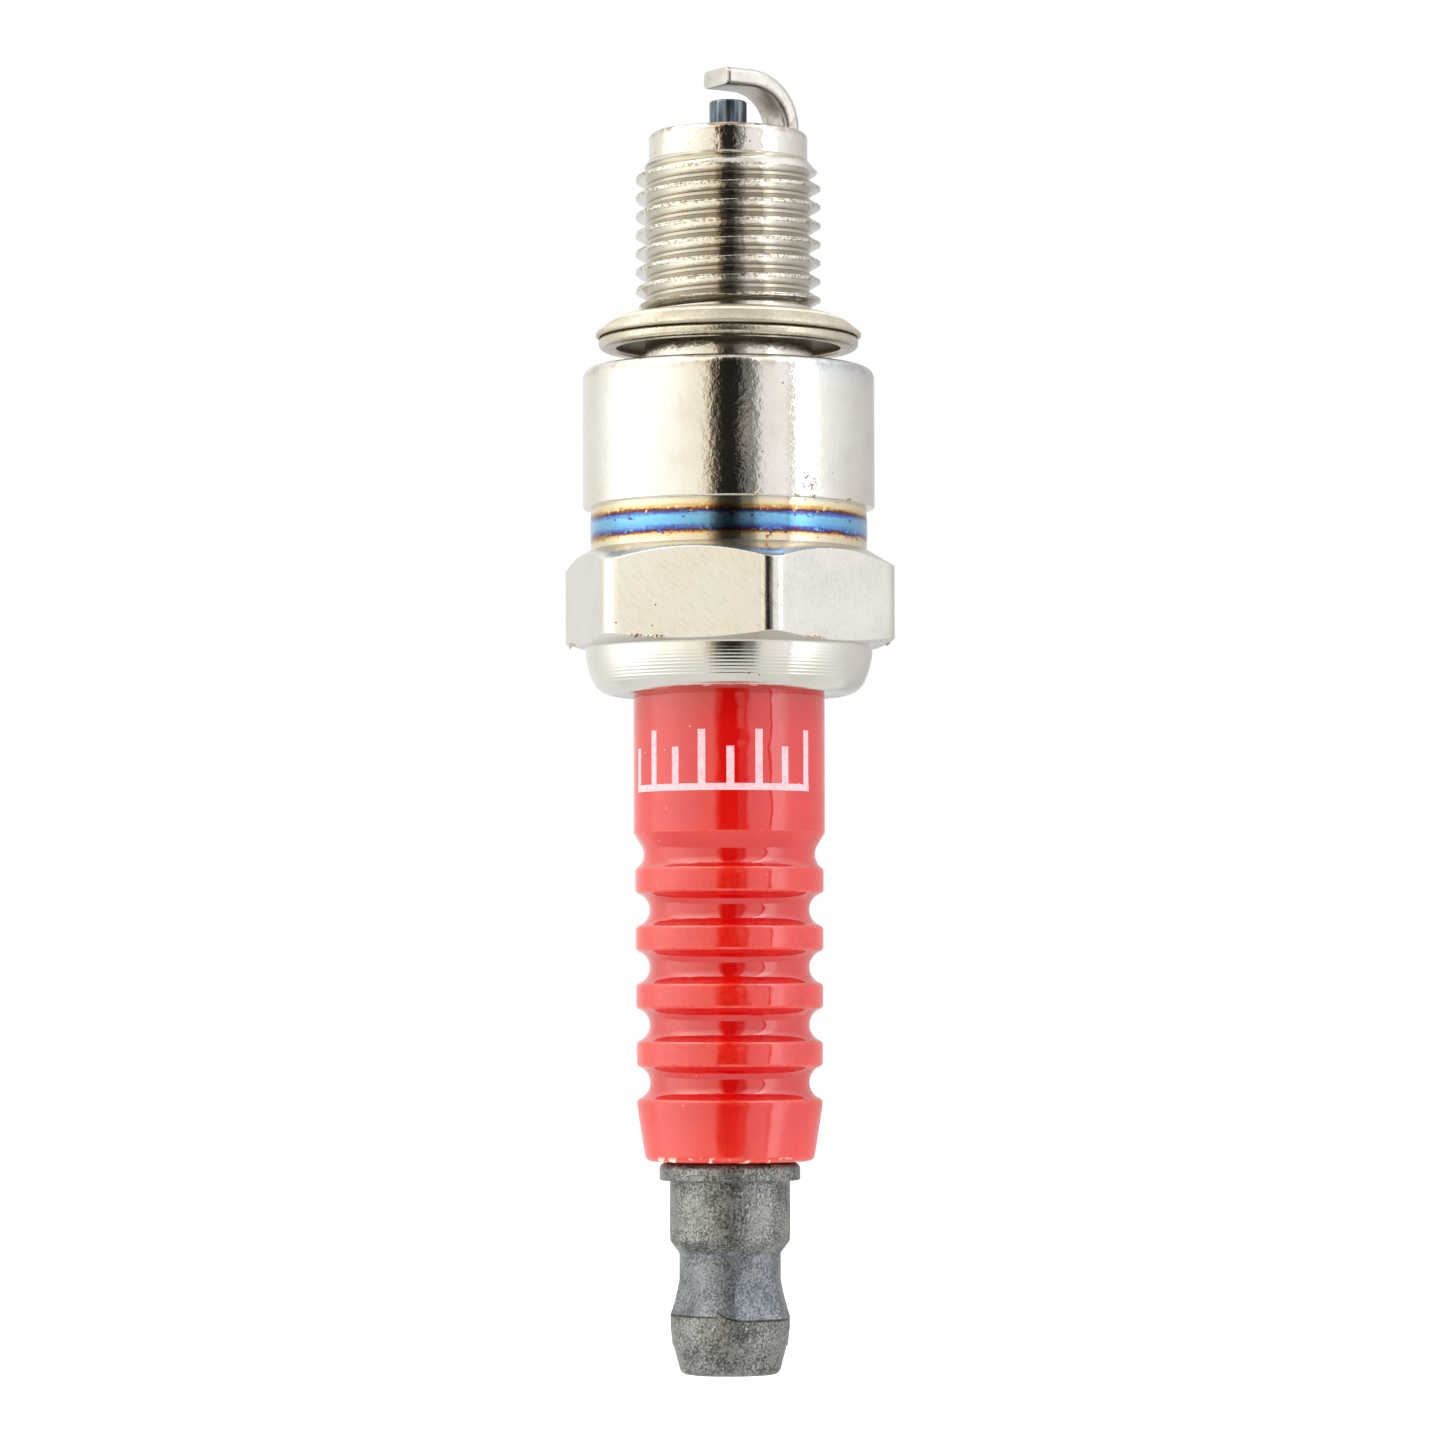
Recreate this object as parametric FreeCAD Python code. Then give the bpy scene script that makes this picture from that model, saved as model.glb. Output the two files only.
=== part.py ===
import FreeCAD, Part
import math
import os

from FreeCAD import Vector

# Spark plug with a 10 mm thread, millimetres.
# The origin is the centre of the shell's gasket seat. +Z runs along the plug's axis towards the
# sparking end, so the thread stands above the seat and the terminal hangs below it.

# Thread and nose of the shell
reach = 12.7                # seat to the end of the shell's nose
thread_crest_d = 9.87       # M10 x 1, right hand, as rolled
thread_pitch = 1.0
thread_depth = 0.585
thread_root_flat = 0.15
thread_phase = 0.7          # height of a crest above the seat on the +X side, less whole turns
thread_runout = 0.8         # length of the cone that leads into the thread
nose_relief = 0.1           # the plain nose lies this far inside the thread's root
nose_length = 1.5
nose_round = 0.35
neck_relief = 0.435         # the plain neck lies this far inside the thread's crest
neck_length = 3.0

# Bores of the shell
nose_bore_d = 6.0
ledge_step = 0.2            # the ledge stands this far into the bore
ledge_depth = 8.2           # nose end to the ledge's seat
ledge_length = 0.9
seat_width = 0.7            # of the cone that the insulator's seat bears on
seat_angle = 30.0
barrel_bore_depth = 2.3     # seat plane down to the cone of the main bore

# Body, hexagon and collar of the shell
body_length = 7.5
shoulder_round = 0.55
groove_wall = 1.3           # wall at the groove that was heated and shrunk after assembly
groove_step = 0.45          # the groove lies this far inside the body
groove_length = 2.25
groove_swell = 0.05
hex_across_flats = 16.0
hex_length = 5.25
hex_edge_round = 1.2
hex_angle = -75.0           # direction of one corner
hex_chamfer_land = 0.05     # groove's edge to the chamfer
hex_chamfer_angle = 31.0
hex_low_chamfer_angle = 16.0
collar_wall = 1.6
collar_length = 2.45
collar_land = 0.2           # straight part below the hexagon
collar_curve = [(0.09, 0.85), (0.32, 1.55), (0.65, 2.1)]    # inward and down from the hexagon's end
collar_turn_in = 1.35       # where the crimped end starts, inward from the collar's outside
collar_lip = 0.6            # thickness of the turned-in lip
lip_gap = 0.03              # lip to the insulator
lip_dish = 0.12             # the lip's face rises this much towards the insulator
lip_bevel = 0.2

# Insulator
tip_d = 3.8
tip_projection = 0.4        # how far the insulator's tip stands out of the nose
tip_round = 0.35
nose_root_gap = 0.35        # ledge to the foot of the insulator's nose
barrel_clearance = 0.1
flange_clearance = 0.15
flange_end = 12.4           # seat plane down to the shoulder that carries the packing
head_d = 10.2               # glazed head
glaze = 0.03
glaze_fade = 0.6            # length over which the glaze runs out under the lip
head_end = 24.82
neck_groove_depth = 0.535   # the shallow groove between the head and the first rib
neck_groove_z = 25.96       # seat plane down to the middle of that groove
neck_groove_turn = 35.0     # where the head's cone meets the groove's round, from its middle
rib_count = 4
rib_drop = 0.08             # the first rib's radius is this much less than the head's
rib_taper = 0.02            # each rib's radius is this much less than the one before
rib_pitch = 3.06
first_rib_groove = 28.9     # seat plane down to the middle of the first deep groove
rib_groove_depth = 0.85     # below the head
rib_groove_round = 0.9
rib_edge_round = 0.25
skirt_land = 0.35           # straight part of the last skirt
skirt_taper = 0.62          # the last skirt's end lies this far inside the head
skirt_round = 0.4
insulator_length = 42.25    # seat plane down to the insulator's end
head_bore_d = 3.5
head_step_height = 0.5      # seat plane up to the step in the bore

# Electrodes
center_d = 2.0
center_clearance = 0.05
center_projection = 1.75    # nose end to the centre electrode's tip
center_edge_round = 0.12
center_head_step = 0.5
center_head_length = 1.1
core_wall = 0.45            # nickel round the copper
core_setback = 2.7          # tip to the end of the copper
spark_gap = 0.75
strap_width = 2.4
strap_thickness = 0.95
strap_edge_round = 0.28
strap_bend_round = 3.0      # outer radius of the bend
strap_overhang = 0.8        # how far the strap's end passes the axis
strap_angle = 33.0          # direction from the axis to the strap's foot

# Gasket, one strip folded into an S and rolled round
gasket_strip = 0.3
gasket_play = 0.15          # hole to the neck, less than the neck's relief, so that it stays on
gasket_width = 2.4          # hole to the free outer edge
gasket_fold_inset = 0.1     # the lower fold lies this far inside the outer edge
gasket_lap_width = 0.8      # width of the lowest leaf
gasket_height = 1.88
gasket_rest_gap = 0.07      # to the thread's run-out, where it has come to rest
gasket_crown_round = 1.5    # of the upper leaf
gasket_crown_drop = 0.2     # top of the fold to the upper leaf's crown
gasket_crown_shift = 0.2    # the crown lies this far outside the leaf's middle
gasket_rim_inset = 0.09
gasket_rim_height = 0.31    # the upper leaf's rim above the lower leaf
gasket_fold_round = 0.24    # of the fold round the neck
gasket_fold_squeeze = 0.1   # the inner fold is this much lower than two strips

# Terminal stud and glass
stud_gap = 0.15             # shank to the insulator's bore
stud_end_d = 2.9
stud_end_depth = 5.2        # seat plane down to the stud's end in the glass
stud_serrations = 4
stud_serration_depth = 0.18
stud_serration_half = 0.2   # half the width of one groove
stud_end_chamfer = 0.3
glass_length = 8.4
stud_thread_d = 3.94        # M4
stud_thread_pitch = 0.7
stud_thread_depth = 0.42
stud_thread_root_flat = 0.1
stud_thread_lead = 0.37
stud_thread_length = 7.6
stud_thread_gap = 0.4       # insulator's end to the start of the stud's thread

# Terminal nut
nut_gap = 0.05              # insulator's end to the nut
nut_bore_clearance = 0.08
nut_bore_spare = 0.6        # bore past the stud's end
nut_neck_wall = 0.645
nut_collar_step = 0.55      # collar past the body
nut_collar_length = 0.95
nut_collar_chamfer = 0.2
nut_body_step = 0.505       # body past the neck
nut_body_length = 3.15
nut_shoulder_length = 0.7   # cone under the body
nut_neck_length = 1.4
nut_flare_length = 1.9
nut_flare_hollow = 0.42     # share of the flare's step reached halfway, so that it is hollow
nut_bulb_step = 0.475       # bulb past the neck
nut_bulb_length = 0.6
nut_end_step = 0.57         # end inside the bulb
nut_taper_length = 2.1
nut_end_round = 0.4
crimp_count = 4
crimp_angle = -58.0         # direction of one crimp
crimp_depth = 0.195
crimp_round = 4.0
crimp_start = 0.1           # neck's top up to the crimps
crimp_length = 3.3

# Packing between the insulator and the shell
washer_thickness = 0.3
washer_inset = 0.06
packing_wire_d = 0.85
packing_play = 0.1          # wire to the bore
talc_length = 2.1
fit_gap = 0.02              # stands for face to face contact between packed pieces
drill_point_angle = 30.0    # of the cone at the end of a drilled bore
cutter_spare = 1.0          # cutters reach this far past what they cut

# Sizes that follow from those above
nose_d = thread_crest_d - 2 * (thread_depth + nose_relief)
neck_d = thread_crest_d - 2 * neck_relief
ledge_bore_d = nose_bore_d - 2 * ledge_step
barrel_bore_d = ledge_bore_d + 2 * seat_width
main_bore_d = head_d + 2 * (packing_wire_d + packing_play)
groove_d = main_bore_d + 2 * groove_wall
body_d = groove_d + 2 * groove_step
collar_d = main_bore_d + 2 * collar_wall
hex_top_d = groove_d + 2 * hex_chamfer_land
nose_root_d = ledge_bore_d - 2 * nose_root_gap
neck_groove_d = head_d - 2 * neck_groove_depth
rib_groove_d = head_d - 2 * rib_groove_depth
skirt_end_d = head_d - 2 * skirt_taper
center_head_d = center_d + 2 * center_head_step
core_d = center_d - 2 * core_wall
gasket_hole_d = neck_d + 2 * gasket_play
gasket_outer_d = gasket_hole_d + 2 * gasket_width
gasket_fold_d = gasket_outer_d - 2 * gasket_fold_inset
stud_d = head_bore_d - 2 * stud_gap
nut_bore_d = stud_thread_d + 2 * nut_bore_clearance
nut_neck_d = nut_bore_d + 2 * nut_neck_wall
nut_body_d = nut_neck_d + 2 * nut_body_step
nut_collar_d = nut_body_d + 2 * nut_collar_step
nut_bulb_d = nut_neck_d + 2 * nut_bulb_step
nut_end_d = nut_bulb_d - 2 * nut_end_step
flange_r = main_bore_d / 2 - flange_clearance
packing_r = (main_bore_d + head_d) / 4
packing_wire_r = packing_wire_d / 2
lower_packing_z = -flange_end - (flange_r - packing_r) - (packing_wire_r + fit_gap) * math.sqrt(2)
talc_top = lower_packing_z - packing_wire_r - fit_gap
talc_bottom = talc_top - talc_length
upper_packing_z = talc_bottom - fit_gap - packing_wire_r

TOP = Vector(0, 0, 1)
AXIS_POINT = Vector(0, 0, 0)


def at(r, z):
    """A point of a lathe outline."""
    return Vector(r, 0, z)


def outline(steps):
    """A closed wire from steps: (r, z) is a line to there, (r1, z1, r2, z2) an arc through 1 to 2."""
    edges = []
    start = at(*steps[0])
    here = start
    for step in steps[1:]:
        if len(step) == 2:
            there = at(*step)
            edges.append(Part.makeLine(here, there))
        else:
            there = at(step[2], step[3])
            edges.append(Part.Arc(here, at(step[0], step[1]), there).toShape())
        here = there
    if here.distanceToPoint(start) > 1e-6:
        edges.append(Part.makeLine(here, start))
    return Part.Wire(edges)


def lathe(steps):
    """A turned solid from its half outline."""
    face = Part.Face(outline(steps))
    return Part.makeSolid(face.revolve(AXIS_POINT, TOP, 360))


def ring_edges(shape, radius, z):
    """The circular edges of a turned shape at one radius and height."""
    found = []
    for edge in shape.Edges:
        curve = edge.Curve
        if isinstance(curve, Part.Circle) and abs(curve.Radius - radius) < 1e-4:
            if abs(curve.Center.z - z) < 1e-4:
                found.append(edge)
    return found


def round_ring(shape, size, radius, z):
    """Rounds the edge of a turned shape at one radius and height."""
    return shape.makeFillet(size, ring_edges(shape, radius, z))


def turned(shape, angle):
    """A copy turned about the plug's axis."""
    copy = shape.copy()
    copy.rotate(AXIS_POINT, TOP, angle)
    return copy


def cut_thread(bar, crest_r, pitch, depth, root_flat, phase):
    """Cuts a right-hand 60 degree thread, turn by turn. phase is a crest's height on the +X side."""
    spare = 0.05
    slope = math.tan(math.radians(30))
    half_root = root_flat / 2
    half_mouth = half_root + (depth + spare) * slope
    corners = [
        Vector(crest_r + spare, 0, -half_mouth),
        Vector(crest_r - depth, 0, -half_root),
        Vector(crest_r - depth, 0, half_root),
        Vector(crest_r + spare, 0, half_mouth),
    ]
    sweep = Part.BRepOffsetAPI.MakePipeShell(Part.Wire(Part.makeHelix(pitch, pitch, crest_r).Edges))
    sweep.setBiNormalMode(TOP)
    sweep.add(Part.makePolygon(corners + corners[:1]))
    sweep.build()
    sweep.makeSolid()
    one_turn = sweep.shape()
    low = bar.BoundBox.ZMin
    high = bar.BoundBox.ZMax
    groove = phase + pitch / 2
    first = math.floor((low - groove) / pitch - 0.9)
    last = math.ceil((high - groove) / pitch + 0.9)
    for k in range(first, last):
        bar = bar.cut(one_turn.translated(Vector(0, 0, groove + pitch * k)))
    return bar


def hexagon(across_flats, edge_round, angle, low, high):
    """A hexagonal bar with rounded corners, one of them in the direction given."""
    corner_r = across_flats / 2 / math.cos(math.radians(30))
    corners = []
    for k in range(6):
        a = math.radians(angle + 60 * k)
        corners.append(Vector(corner_r * math.cos(a), corner_r * math.sin(a), low))
    bar = Part.Face(Part.makePolygon(corners + corners[:1])).extrude(Vector(0, 0, high - low))
    upright = [e for e in bar.Edges if abs(e.Vertexes[0].Z - e.Vertexes[1].Z) > 1e-3]
    return bar.makeFillet(edge_round, upright)


def seat_z(r, below):
    """Height of the ledge's seat cone at a radius, or of a cone parallel to it and below it."""
    slope = math.tan(math.radians(seat_angle))
    return reach - ledge_depth - (r - ledge_bore_d / 2) * slope - below / math.cos(math.radians(seat_angle))


def shell_thread():
    """The threaded length, which fades into the neck and into the nose."""
    crest_r = thread_crest_d / 2
    low = neck_length
    high = reach - nose_length
    bar = lathe([
        (0, low),
        (neck_d / 2, low),
        (crest_r, low + crest_r - neck_d / 2),
        (crest_r, high - thread_runout),
        (nose_d / 2, high),
        (0, high),
    ])
    return cut_thread(bar, crest_r, thread_pitch, thread_depth, thread_root_flat, thread_phase)


def metal_shell():
    """The steel shell: nose, thread, neck, body, heat-shrink groove, hexagon and crimped collar."""
    body_r = body_d / 2
    groove_top = -body_length
    groove_bottom = groove_top - groove_length
    hex_bottom = groove_bottom - hex_length
    end = hex_bottom - collar_length
    collar_r = collar_d / 2
    lip_r = head_d / 2 + lip_gap
    curve = [(collar_r - inward, hex_bottom - down) for inward, down in collar_curve]
    outside = lathe([
        (0, neck_length),
        (neck_d / 2, neck_length),
        (neck_d / 2, 0),
        (body_r, 0),
        (body_r, groove_top),
        (groove_d / 2, groove_top),
        (groove_d / 2 + groove_swell, groove_top - groove_length / 2, groove_d / 2, groove_bottom),
        (hex_top_d / 2, groove_bottom),
        (collar_r, hex_bottom),
        (collar_r, hex_bottom - collar_land),
        curve[0] + curve[1],
        curve[2] + (collar_r - collar_turn_in, end),
        (lip_r + lip_bevel, end + lip_dish),
        (lip_r, end + collar_lip / 2),
        (0, end + collar_lip / 2),
    ])
    outside = round_ring(outside, shoulder_round, body_r, 0)
    far = hex_across_flats
    top_spread = (far - hex_top_d / 2) * math.tan(math.radians(hex_chamfer_angle))
    bottom_spread = (far - collar_r) * math.tan(math.radians(hex_low_chamfer_angle))
    hex_bar = hexagon(hex_across_flats, hex_edge_round, hex_angle, hex_bottom, groove_bottom)
    envelope = lathe([
        (0, groove_bottom),
        (hex_top_d / 2, groove_bottom),
        (far, groove_bottom - top_spread),
        (far, hex_bottom + bottom_spread),
        (collar_r, hex_bottom),
        (0, hex_bottom),
    ])
    nose = lathe([
        (0, reach),
        (nose_d / 2, reach),
        (nose_d / 2, reach - nose_length),
        (0, reach - nose_length),
    ])
    nose = round_ring(nose, nose_round, nose_d / 2, reach)
    solid = outside.fuse([hex_bar.common(envelope), shell_thread(), nose])
    ledge_z = reach - ledge_depth
    barrel_r = barrel_bore_d / 2
    main_r = main_bore_d / 2
    wire_r = packing_wire_r + 2 * fit_gap
    curl = math.sqrt(0.5)
    bore = lathe([
        (0, reach + cutter_spare),
        (nose_bore_d / 2, reach + cutter_spare),
        (nose_bore_d / 2, ledge_z + ledge_length),
        (ledge_bore_d / 2, ledge_z + ledge_length - (nose_bore_d - ledge_bore_d) / 2),
        (ledge_bore_d / 2, ledge_z),
        (barrel_r, seat_z(barrel_r, 0)),
        (barrel_r, -barrel_bore_depth),
        (main_r, -barrel_bore_depth - (main_r - barrel_r)),
        (main_r, upper_packing_z),
        (packing_r + wire_r, upper_packing_z),
        (packing_r + wire_r * curl, upper_packing_z - wire_r * curl, packing_r, upper_packing_z - wire_r),
        (lip_r, end + collar_lip),
        (lip_r, end - cutter_spare),
        (0, end - cutter_spare),
    ])
    return solid.cut(bore).removeSplitter()


def insulator():
    """The alumina insulator: nose, seat, barrel, flange, glazed head, ribs and last skirt."""
    root_r = nose_root_d / 2
    barrel_r = barrel_bore_d / 2 - barrel_clearance
    head_r = head_d / 2
    bare_r = head_r - glaze
    below_seat = washer_thickness + 2 * fit_gap
    lip_z = -body_length - groove_length - hex_length - collar_length
    flange_top = -barrel_bore_depth - flange_clearance - (flange_r - barrel_r)
    steps = [
        (0, reach + tip_projection),
        (tip_d / 2, reach + tip_projection),
        (root_r, seat_z(root_r, below_seat)),
        (barrel_r, seat_z(barrel_r, below_seat)),
        (barrel_r, flange_top + flange_r - barrel_r),
        (flange_r, flange_top),
        (flange_r, -flange_end),
        (bare_r, -flange_end - (flange_r - bare_r)),
        (bare_r, lip_z + glaze_fade),
        (head_r, lip_z),
        (head_r, -head_end),
    ]
    hollow_r = neck_groove_d / 2 + rib_groove_round
    steps += neck_groove(hollow_r)
    for k in range(rib_count):
        steps += rib_groove(k)
    last_r = rib_radius(rib_count)
    skirt_low = -insulator_length
    steps += [(last_r, -first_rib_groove - rib_pitch * (rib_count - 1) - rib_half_mouth(last_r) - skirt_land)]
    steps += [(skirt_end_d / 2, skirt_low), (0, skirt_low)]
    solid = lathe(steps)
    solid = round_ring(solid, tip_round, tip_d / 2, reach + tip_projection)
    solid = round_ring(solid, skirt_round, skirt_end_d / 2, skirt_low)
    for r, z in rib_edges():
        solid = round_ring(solid, rib_edge_round, r, z)
    bore = lathe([
        (0, reach + tip_projection + cutter_spare),
        (center_d / 2 + center_clearance, reach + tip_projection + cutter_spare),
        (center_d / 2 + center_clearance, head_step_height),
        (head_bore_d / 2, head_step_height),
        (head_bore_d / 2, skirt_low - cutter_spare),
        (0, skirt_low - cutter_spare),
    ])
    return solid.cut(bore)


def rib_radius(k):
    """Radius of rib k, counted from the head. The last skirt counts as one more rib."""
    return head_d / 2 - rib_drop - rib_taper * k


def rib_half_mouth(r):
    """Half the width of a deep groove where it meets a rib of radius r."""
    middle_r = rib_groove_d / 2 + rib_groove_round
    return math.sqrt(rib_groove_round ** 2 - (middle_r - r) ** 2)


def neck_groove(hollow_r):
    """The shallow groove: a cone down from the head, then a round hollow up to the first rib."""
    r = rib_radius(0)
    rise = math.sqrt(rib_groove_round ** 2 - (hollow_r - r) ** 2)
    turn = math.radians(neck_groove_turn)
    cone_r = hollow_r - rib_groove_round * math.cos(turn)
    cone_z = -neck_groove_z + rib_groove_round * math.sin(turn)
    return [
        (cone_r, cone_z),
        (neck_groove_d / 2, -neck_groove_z, r, -neck_groove_z - rise),
    ]


def rib_groove(k):
    """The crest of rib k and the round groove after it."""
    z = -first_rib_groove - rib_pitch * k
    upper_r = rib_radius(k)
    lower_r = rib_radius(k + 1)
    return [
        (upper_r, z + rib_half_mouth(upper_r)),
        (rib_groove_d / 2, z, lower_r, z - rib_half_mouth(lower_r)),
    ]


def rib_edges():
    """Radius and height of each rib's sharp edges."""
    hollow_r = neck_groove_d / 2 + rib_groove_round
    r = rib_radius(0)
    rise = math.sqrt(rib_groove_round ** 2 - (hollow_r - r) ** 2)
    edges = [(r, -neck_groove_z - rise)]
    for k in range(rib_count):
        z = -first_rib_groove - rib_pitch * k
        edges.append((rib_radius(k), z + rib_half_mouth(rib_radius(k))))
        edges.append((rib_radius(k + 1), z - rib_half_mouth(rib_radius(k + 1))))
    return edges


def center_electrode():
    """The nickel alloy pin with its head, drilled from the head's end for the copper."""
    r = center_d / 2
    tip = reach + center_projection
    step = head_step_height - fit_gap
    pin = lathe([
        (0, tip),
        (r, tip),
        (r, step),
        (center_head_d / 2, step),
        (center_head_d / 2, step - center_head_length),
        (0, step - center_head_length),
    ])
    pin = round_ring(pin, center_edge_round, r, tip)
    hole_r = core_d / 2 + fit_gap / 2
    hole_low = step - center_head_length - cutter_spare
    hole = Part.makeCylinder(hole_r, tip - core_setback + fit_gap - hole_low, at(0, hole_low))
    return pin.cut(hole)


def copper_core():
    """The copper that carries heat out of the centre electrode."""
    low = head_step_height - fit_gap - center_head_length
    return Part.makeCylinder(core_d / 2, reach + center_projection - core_setback - low, at(0, low))


def stud_outline(low, spare):
    """Outline of the stud's end in the glass, grown by spare, down to a height."""
    r = stud_end_d / 2 + spare
    top = -stud_end_depth + spare
    tooth = (glass_end() + stud_end_depth) / -stud_serrations
    steps = [(0, top), (r - stud_end_chamfer, top), (r, top - stud_end_chamfer)]
    for k in range(stud_serrations - 1):
        z = -stud_end_depth - tooth * (k + 1)
        steps += [
            (r, z + stud_serration_half),
            (r - stud_serration_depth, z),
            (r, z - stud_serration_half),
        ]
    steps += [(r, low), (0, low)]
    return steps


def glass_end():
    """Height of the glass seal's lower end."""
    return head_step_height - fit_gap - center_head_length - fit_gap - glass_length


def glass_seal():
    """Conductive glass from the electrode's head down over the stud's serrated end."""
    plug = Part.makeCylinder(head_bore_d / 2 - fit_gap, glass_length, at(0, glass_end()))
    return plug.cut(lathe(stud_outline(glass_end() - cutter_spare, fit_gap)))


def terminal_stud():
    """The steel stud: serrated end, shank and the M4 thread for the nut."""
    shank_top = glass_end() - fit_gap
    thread_top = -insulator_length - stud_thread_gap
    thread_low = thread_top - stud_thread_length
    shank = lathe([
        (0, shank_top),
        (stud_d / 2, shank_top),
        (stud_d / 2, thread_top),
        (0, thread_top),
    ])
    end = lathe(stud_outline(shank_top, 0))
    crest_r = stud_thread_d / 2
    bar = lathe([
        (0, thread_top),
        (crest_r - stud_thread_lead, thread_top),
        (crest_r, thread_top - stud_thread_lead),
        (crest_r, thread_low + stud_thread_lead),
        (crest_r - stud_thread_lead, thread_low),
        (0, thread_low),
    ])
    threaded = cut_thread(bar, crest_r, stud_thread_pitch, stud_thread_depth, stud_thread_root_flat, 0)
    return shank.fuse([end, threaded]).removeSplitter()


def terminal_nut():
    """The screw-on terminal: collar, body, crimped neck, snap bulb and tapered end."""
    top = -insulator_length - nut_gap
    collar_low = top - nut_collar_length
    body_low = collar_low - nut_body_length
    neck_top = body_low - nut_shoulder_length
    neck_low = neck_top - nut_neck_length
    flare_low = neck_low - nut_flare_length
    bulb_low = flare_low - nut_bulb_length
    end = bulb_low - nut_taper_length - nut_end_round
    neck_r = nut_neck_d / 2
    bulb_r = nut_bulb_d / 2
    nut = lathe([
        (0, top),
        (nut_collar_d / 2 - nut_collar_chamfer, top),
        (nut_collar_d / 2, top - nut_collar_chamfer),
        (nut_collar_d / 2, collar_low),
        (nut_body_d / 2, collar_low),
        (nut_body_d / 2, body_low),
        (neck_r, neck_top),
        (neck_r, neck_low),
        (neck_r + (bulb_r - neck_r) * nut_flare_hollow, neck_low - nut_flare_length / 2, bulb_r, flare_low),
        (bulb_r, bulb_low),
        (nut_end_d / 2, end),
        (0, end),
    ])
    nut = round_ring(nut, nut_end_round, nut_end_d / 2, end)
    for k in range(crimp_count):
        nut = nut.cut(turned(crimp(neck_top), crimp_angle + 360 / crimp_count * k))
    thread_low = -insulator_length - stud_thread_gap - stud_thread_length
    bore_low = thread_low - nut_bore_spare
    bore_r = nut_bore_d / 2
    bore = lathe([
        (0, top + cutter_spare),
        (bore_r, top + cutter_spare),
        (bore_r, bore_low),
        (0, bore_low - bore_r * math.tan(math.radians(drill_point_angle))),
    ])
    return nut.cut(bore)


def crimp(neck_top):
    """The pinch that one jaw left on the neck, on the +X side."""
    width = nut_bulb_d
    high = neck_top + crimp_start
    flat = nut_neck_d / 2 - crimp_depth
    middle = high - crimp_length / 2
    jaw = Part.makeCylinder(crimp_round, width, Vector(flat + crimp_round, -width / 2, middle),
                            Vector(0, 1, 0))
    slab = Part.makeBox(crimp_round, width, crimp_length,
                        Vector(flat - crimp_depth, -width / 2, high - crimp_length))
    return jaw.common(slab)


def ground_electrode():
    """The strap: foot on the nose, bend, and the arm over the centre electrode."""
    underside = reach + center_projection + spark_gap
    top = underside + strap_thickness
    outer_r = nose_d / 2 - nose_round
    bend_x = outer_r - strap_bend_round
    bend_z = top - strap_bend_round
    corner = Vector(outer_r - strap_thickness, -strap_width / 2, 0)
    section = Part.makeBox(strap_thickness, strap_width, strap_thickness, corner)
    upright = [e for e in section.Edges if abs(e.tangentAt(0).z) > 0.9]
    section = section.makeFillet(strap_edge_round, upright)
    foot_face = [f for f in section.Faces if f.normalAt(0, 0).z < -0.9][0]
    foot_face.translate(Vector(0, 0, reach))
    foot = foot_face.extrude(Vector(0, 0, bend_z - reach))
    bend_face = foot_face.translated(Vector(0, 0, bend_z - reach))
    bend = bend_face.revolve(Vector(bend_x, 0, bend_z), Vector(0, -1, 0), 90)
    arm_face = bend_face.copy()
    arm_face.rotate(Vector(bend_x, 0, bend_z), Vector(0, -1, 0), 90)
    arm = arm_face.extrude(Vector(-strap_overhang - bend_x, 0, 0))
    strap = foot.fuse([bend, arm]).removeSplitter()
    return turned(strap, strap_angle)


def rounded_path(points, radii):
    """Lines through the points, with an arc of the radius given at each inner point."""
    edges = []
    here = points[0]
    for k in range(1, len(points) - 1):
        corner = points[k]
        into = (corner - points[k - 1]).normalize()
        out = (points[k + 1] - corner).normalize()
        turn = math.acos(max(-1.0, min(1.0, into.dot(out))))
        reach_back = radii[k - 1] * math.tan(turn / 2)
        first = corner - into * reach_back
        last = corner + out * reach_back
        inward = (out - into).normalize()
        middle = corner + inward * (radii[k - 1] / math.cos(turn / 2) - radii[k - 1])
        edges.append(Part.makeLine(here, first))
        edges.append(Part.Arc(first, middle, last).toShape())
        here = last
    edges.append(Part.makeLine(here, points[-1]))
    return Part.Wire(edges)


def gasket():
    """The folded washer, where it lies against the thread's run-out."""
    half = gasket_strip / 2
    top = neck_length - gasket_rest_gap - half
    low = top - gasket_height + gasket_strip
    lap = gasket_strip + fit_gap
    inner_r = gasket_hole_d / 2 + half
    fold_r = gasket_fold_d / 2 - half
    points = [
        at(gasket_outer_d / 2 - gasket_rim_inset, low + lap + gasket_rim_height),
        at((inner_r + fold_r) / 2 + gasket_crown_shift, top - gasket_crown_drop),
        at(inner_r, top),
        at(inner_r, top - 2 * lap + gasket_fold_squeeze),
        at(fold_r, low + lap),
        at(fold_r, low),
        at(fold_r + half - gasket_lap_width, low),
    ]
    radii = [gasket_crown_round, gasket_fold_round, gasket_fold_round, lap / 2, lap / 2]
    path = rounded_path(points, radii)
    upper = path.makeOffset2D(half, 0, False, True)
    lower = path.makeOffset2D(-half, 0, False, True)
    ends = []
    for k in (0, -1):
        a = upper.OrderedVertexes[k].Point
        b = lower.OrderedVertexes[k].Point
        ends.append(Part.makeLine(a, b))
    face = Part.Face(Part.Wire(Part.__sortEdges__(upper.Edges + lower.Edges + ends)))
    return Part.makeSolid(face.revolve(AXIS_POINT, TOP, 360))


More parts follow.
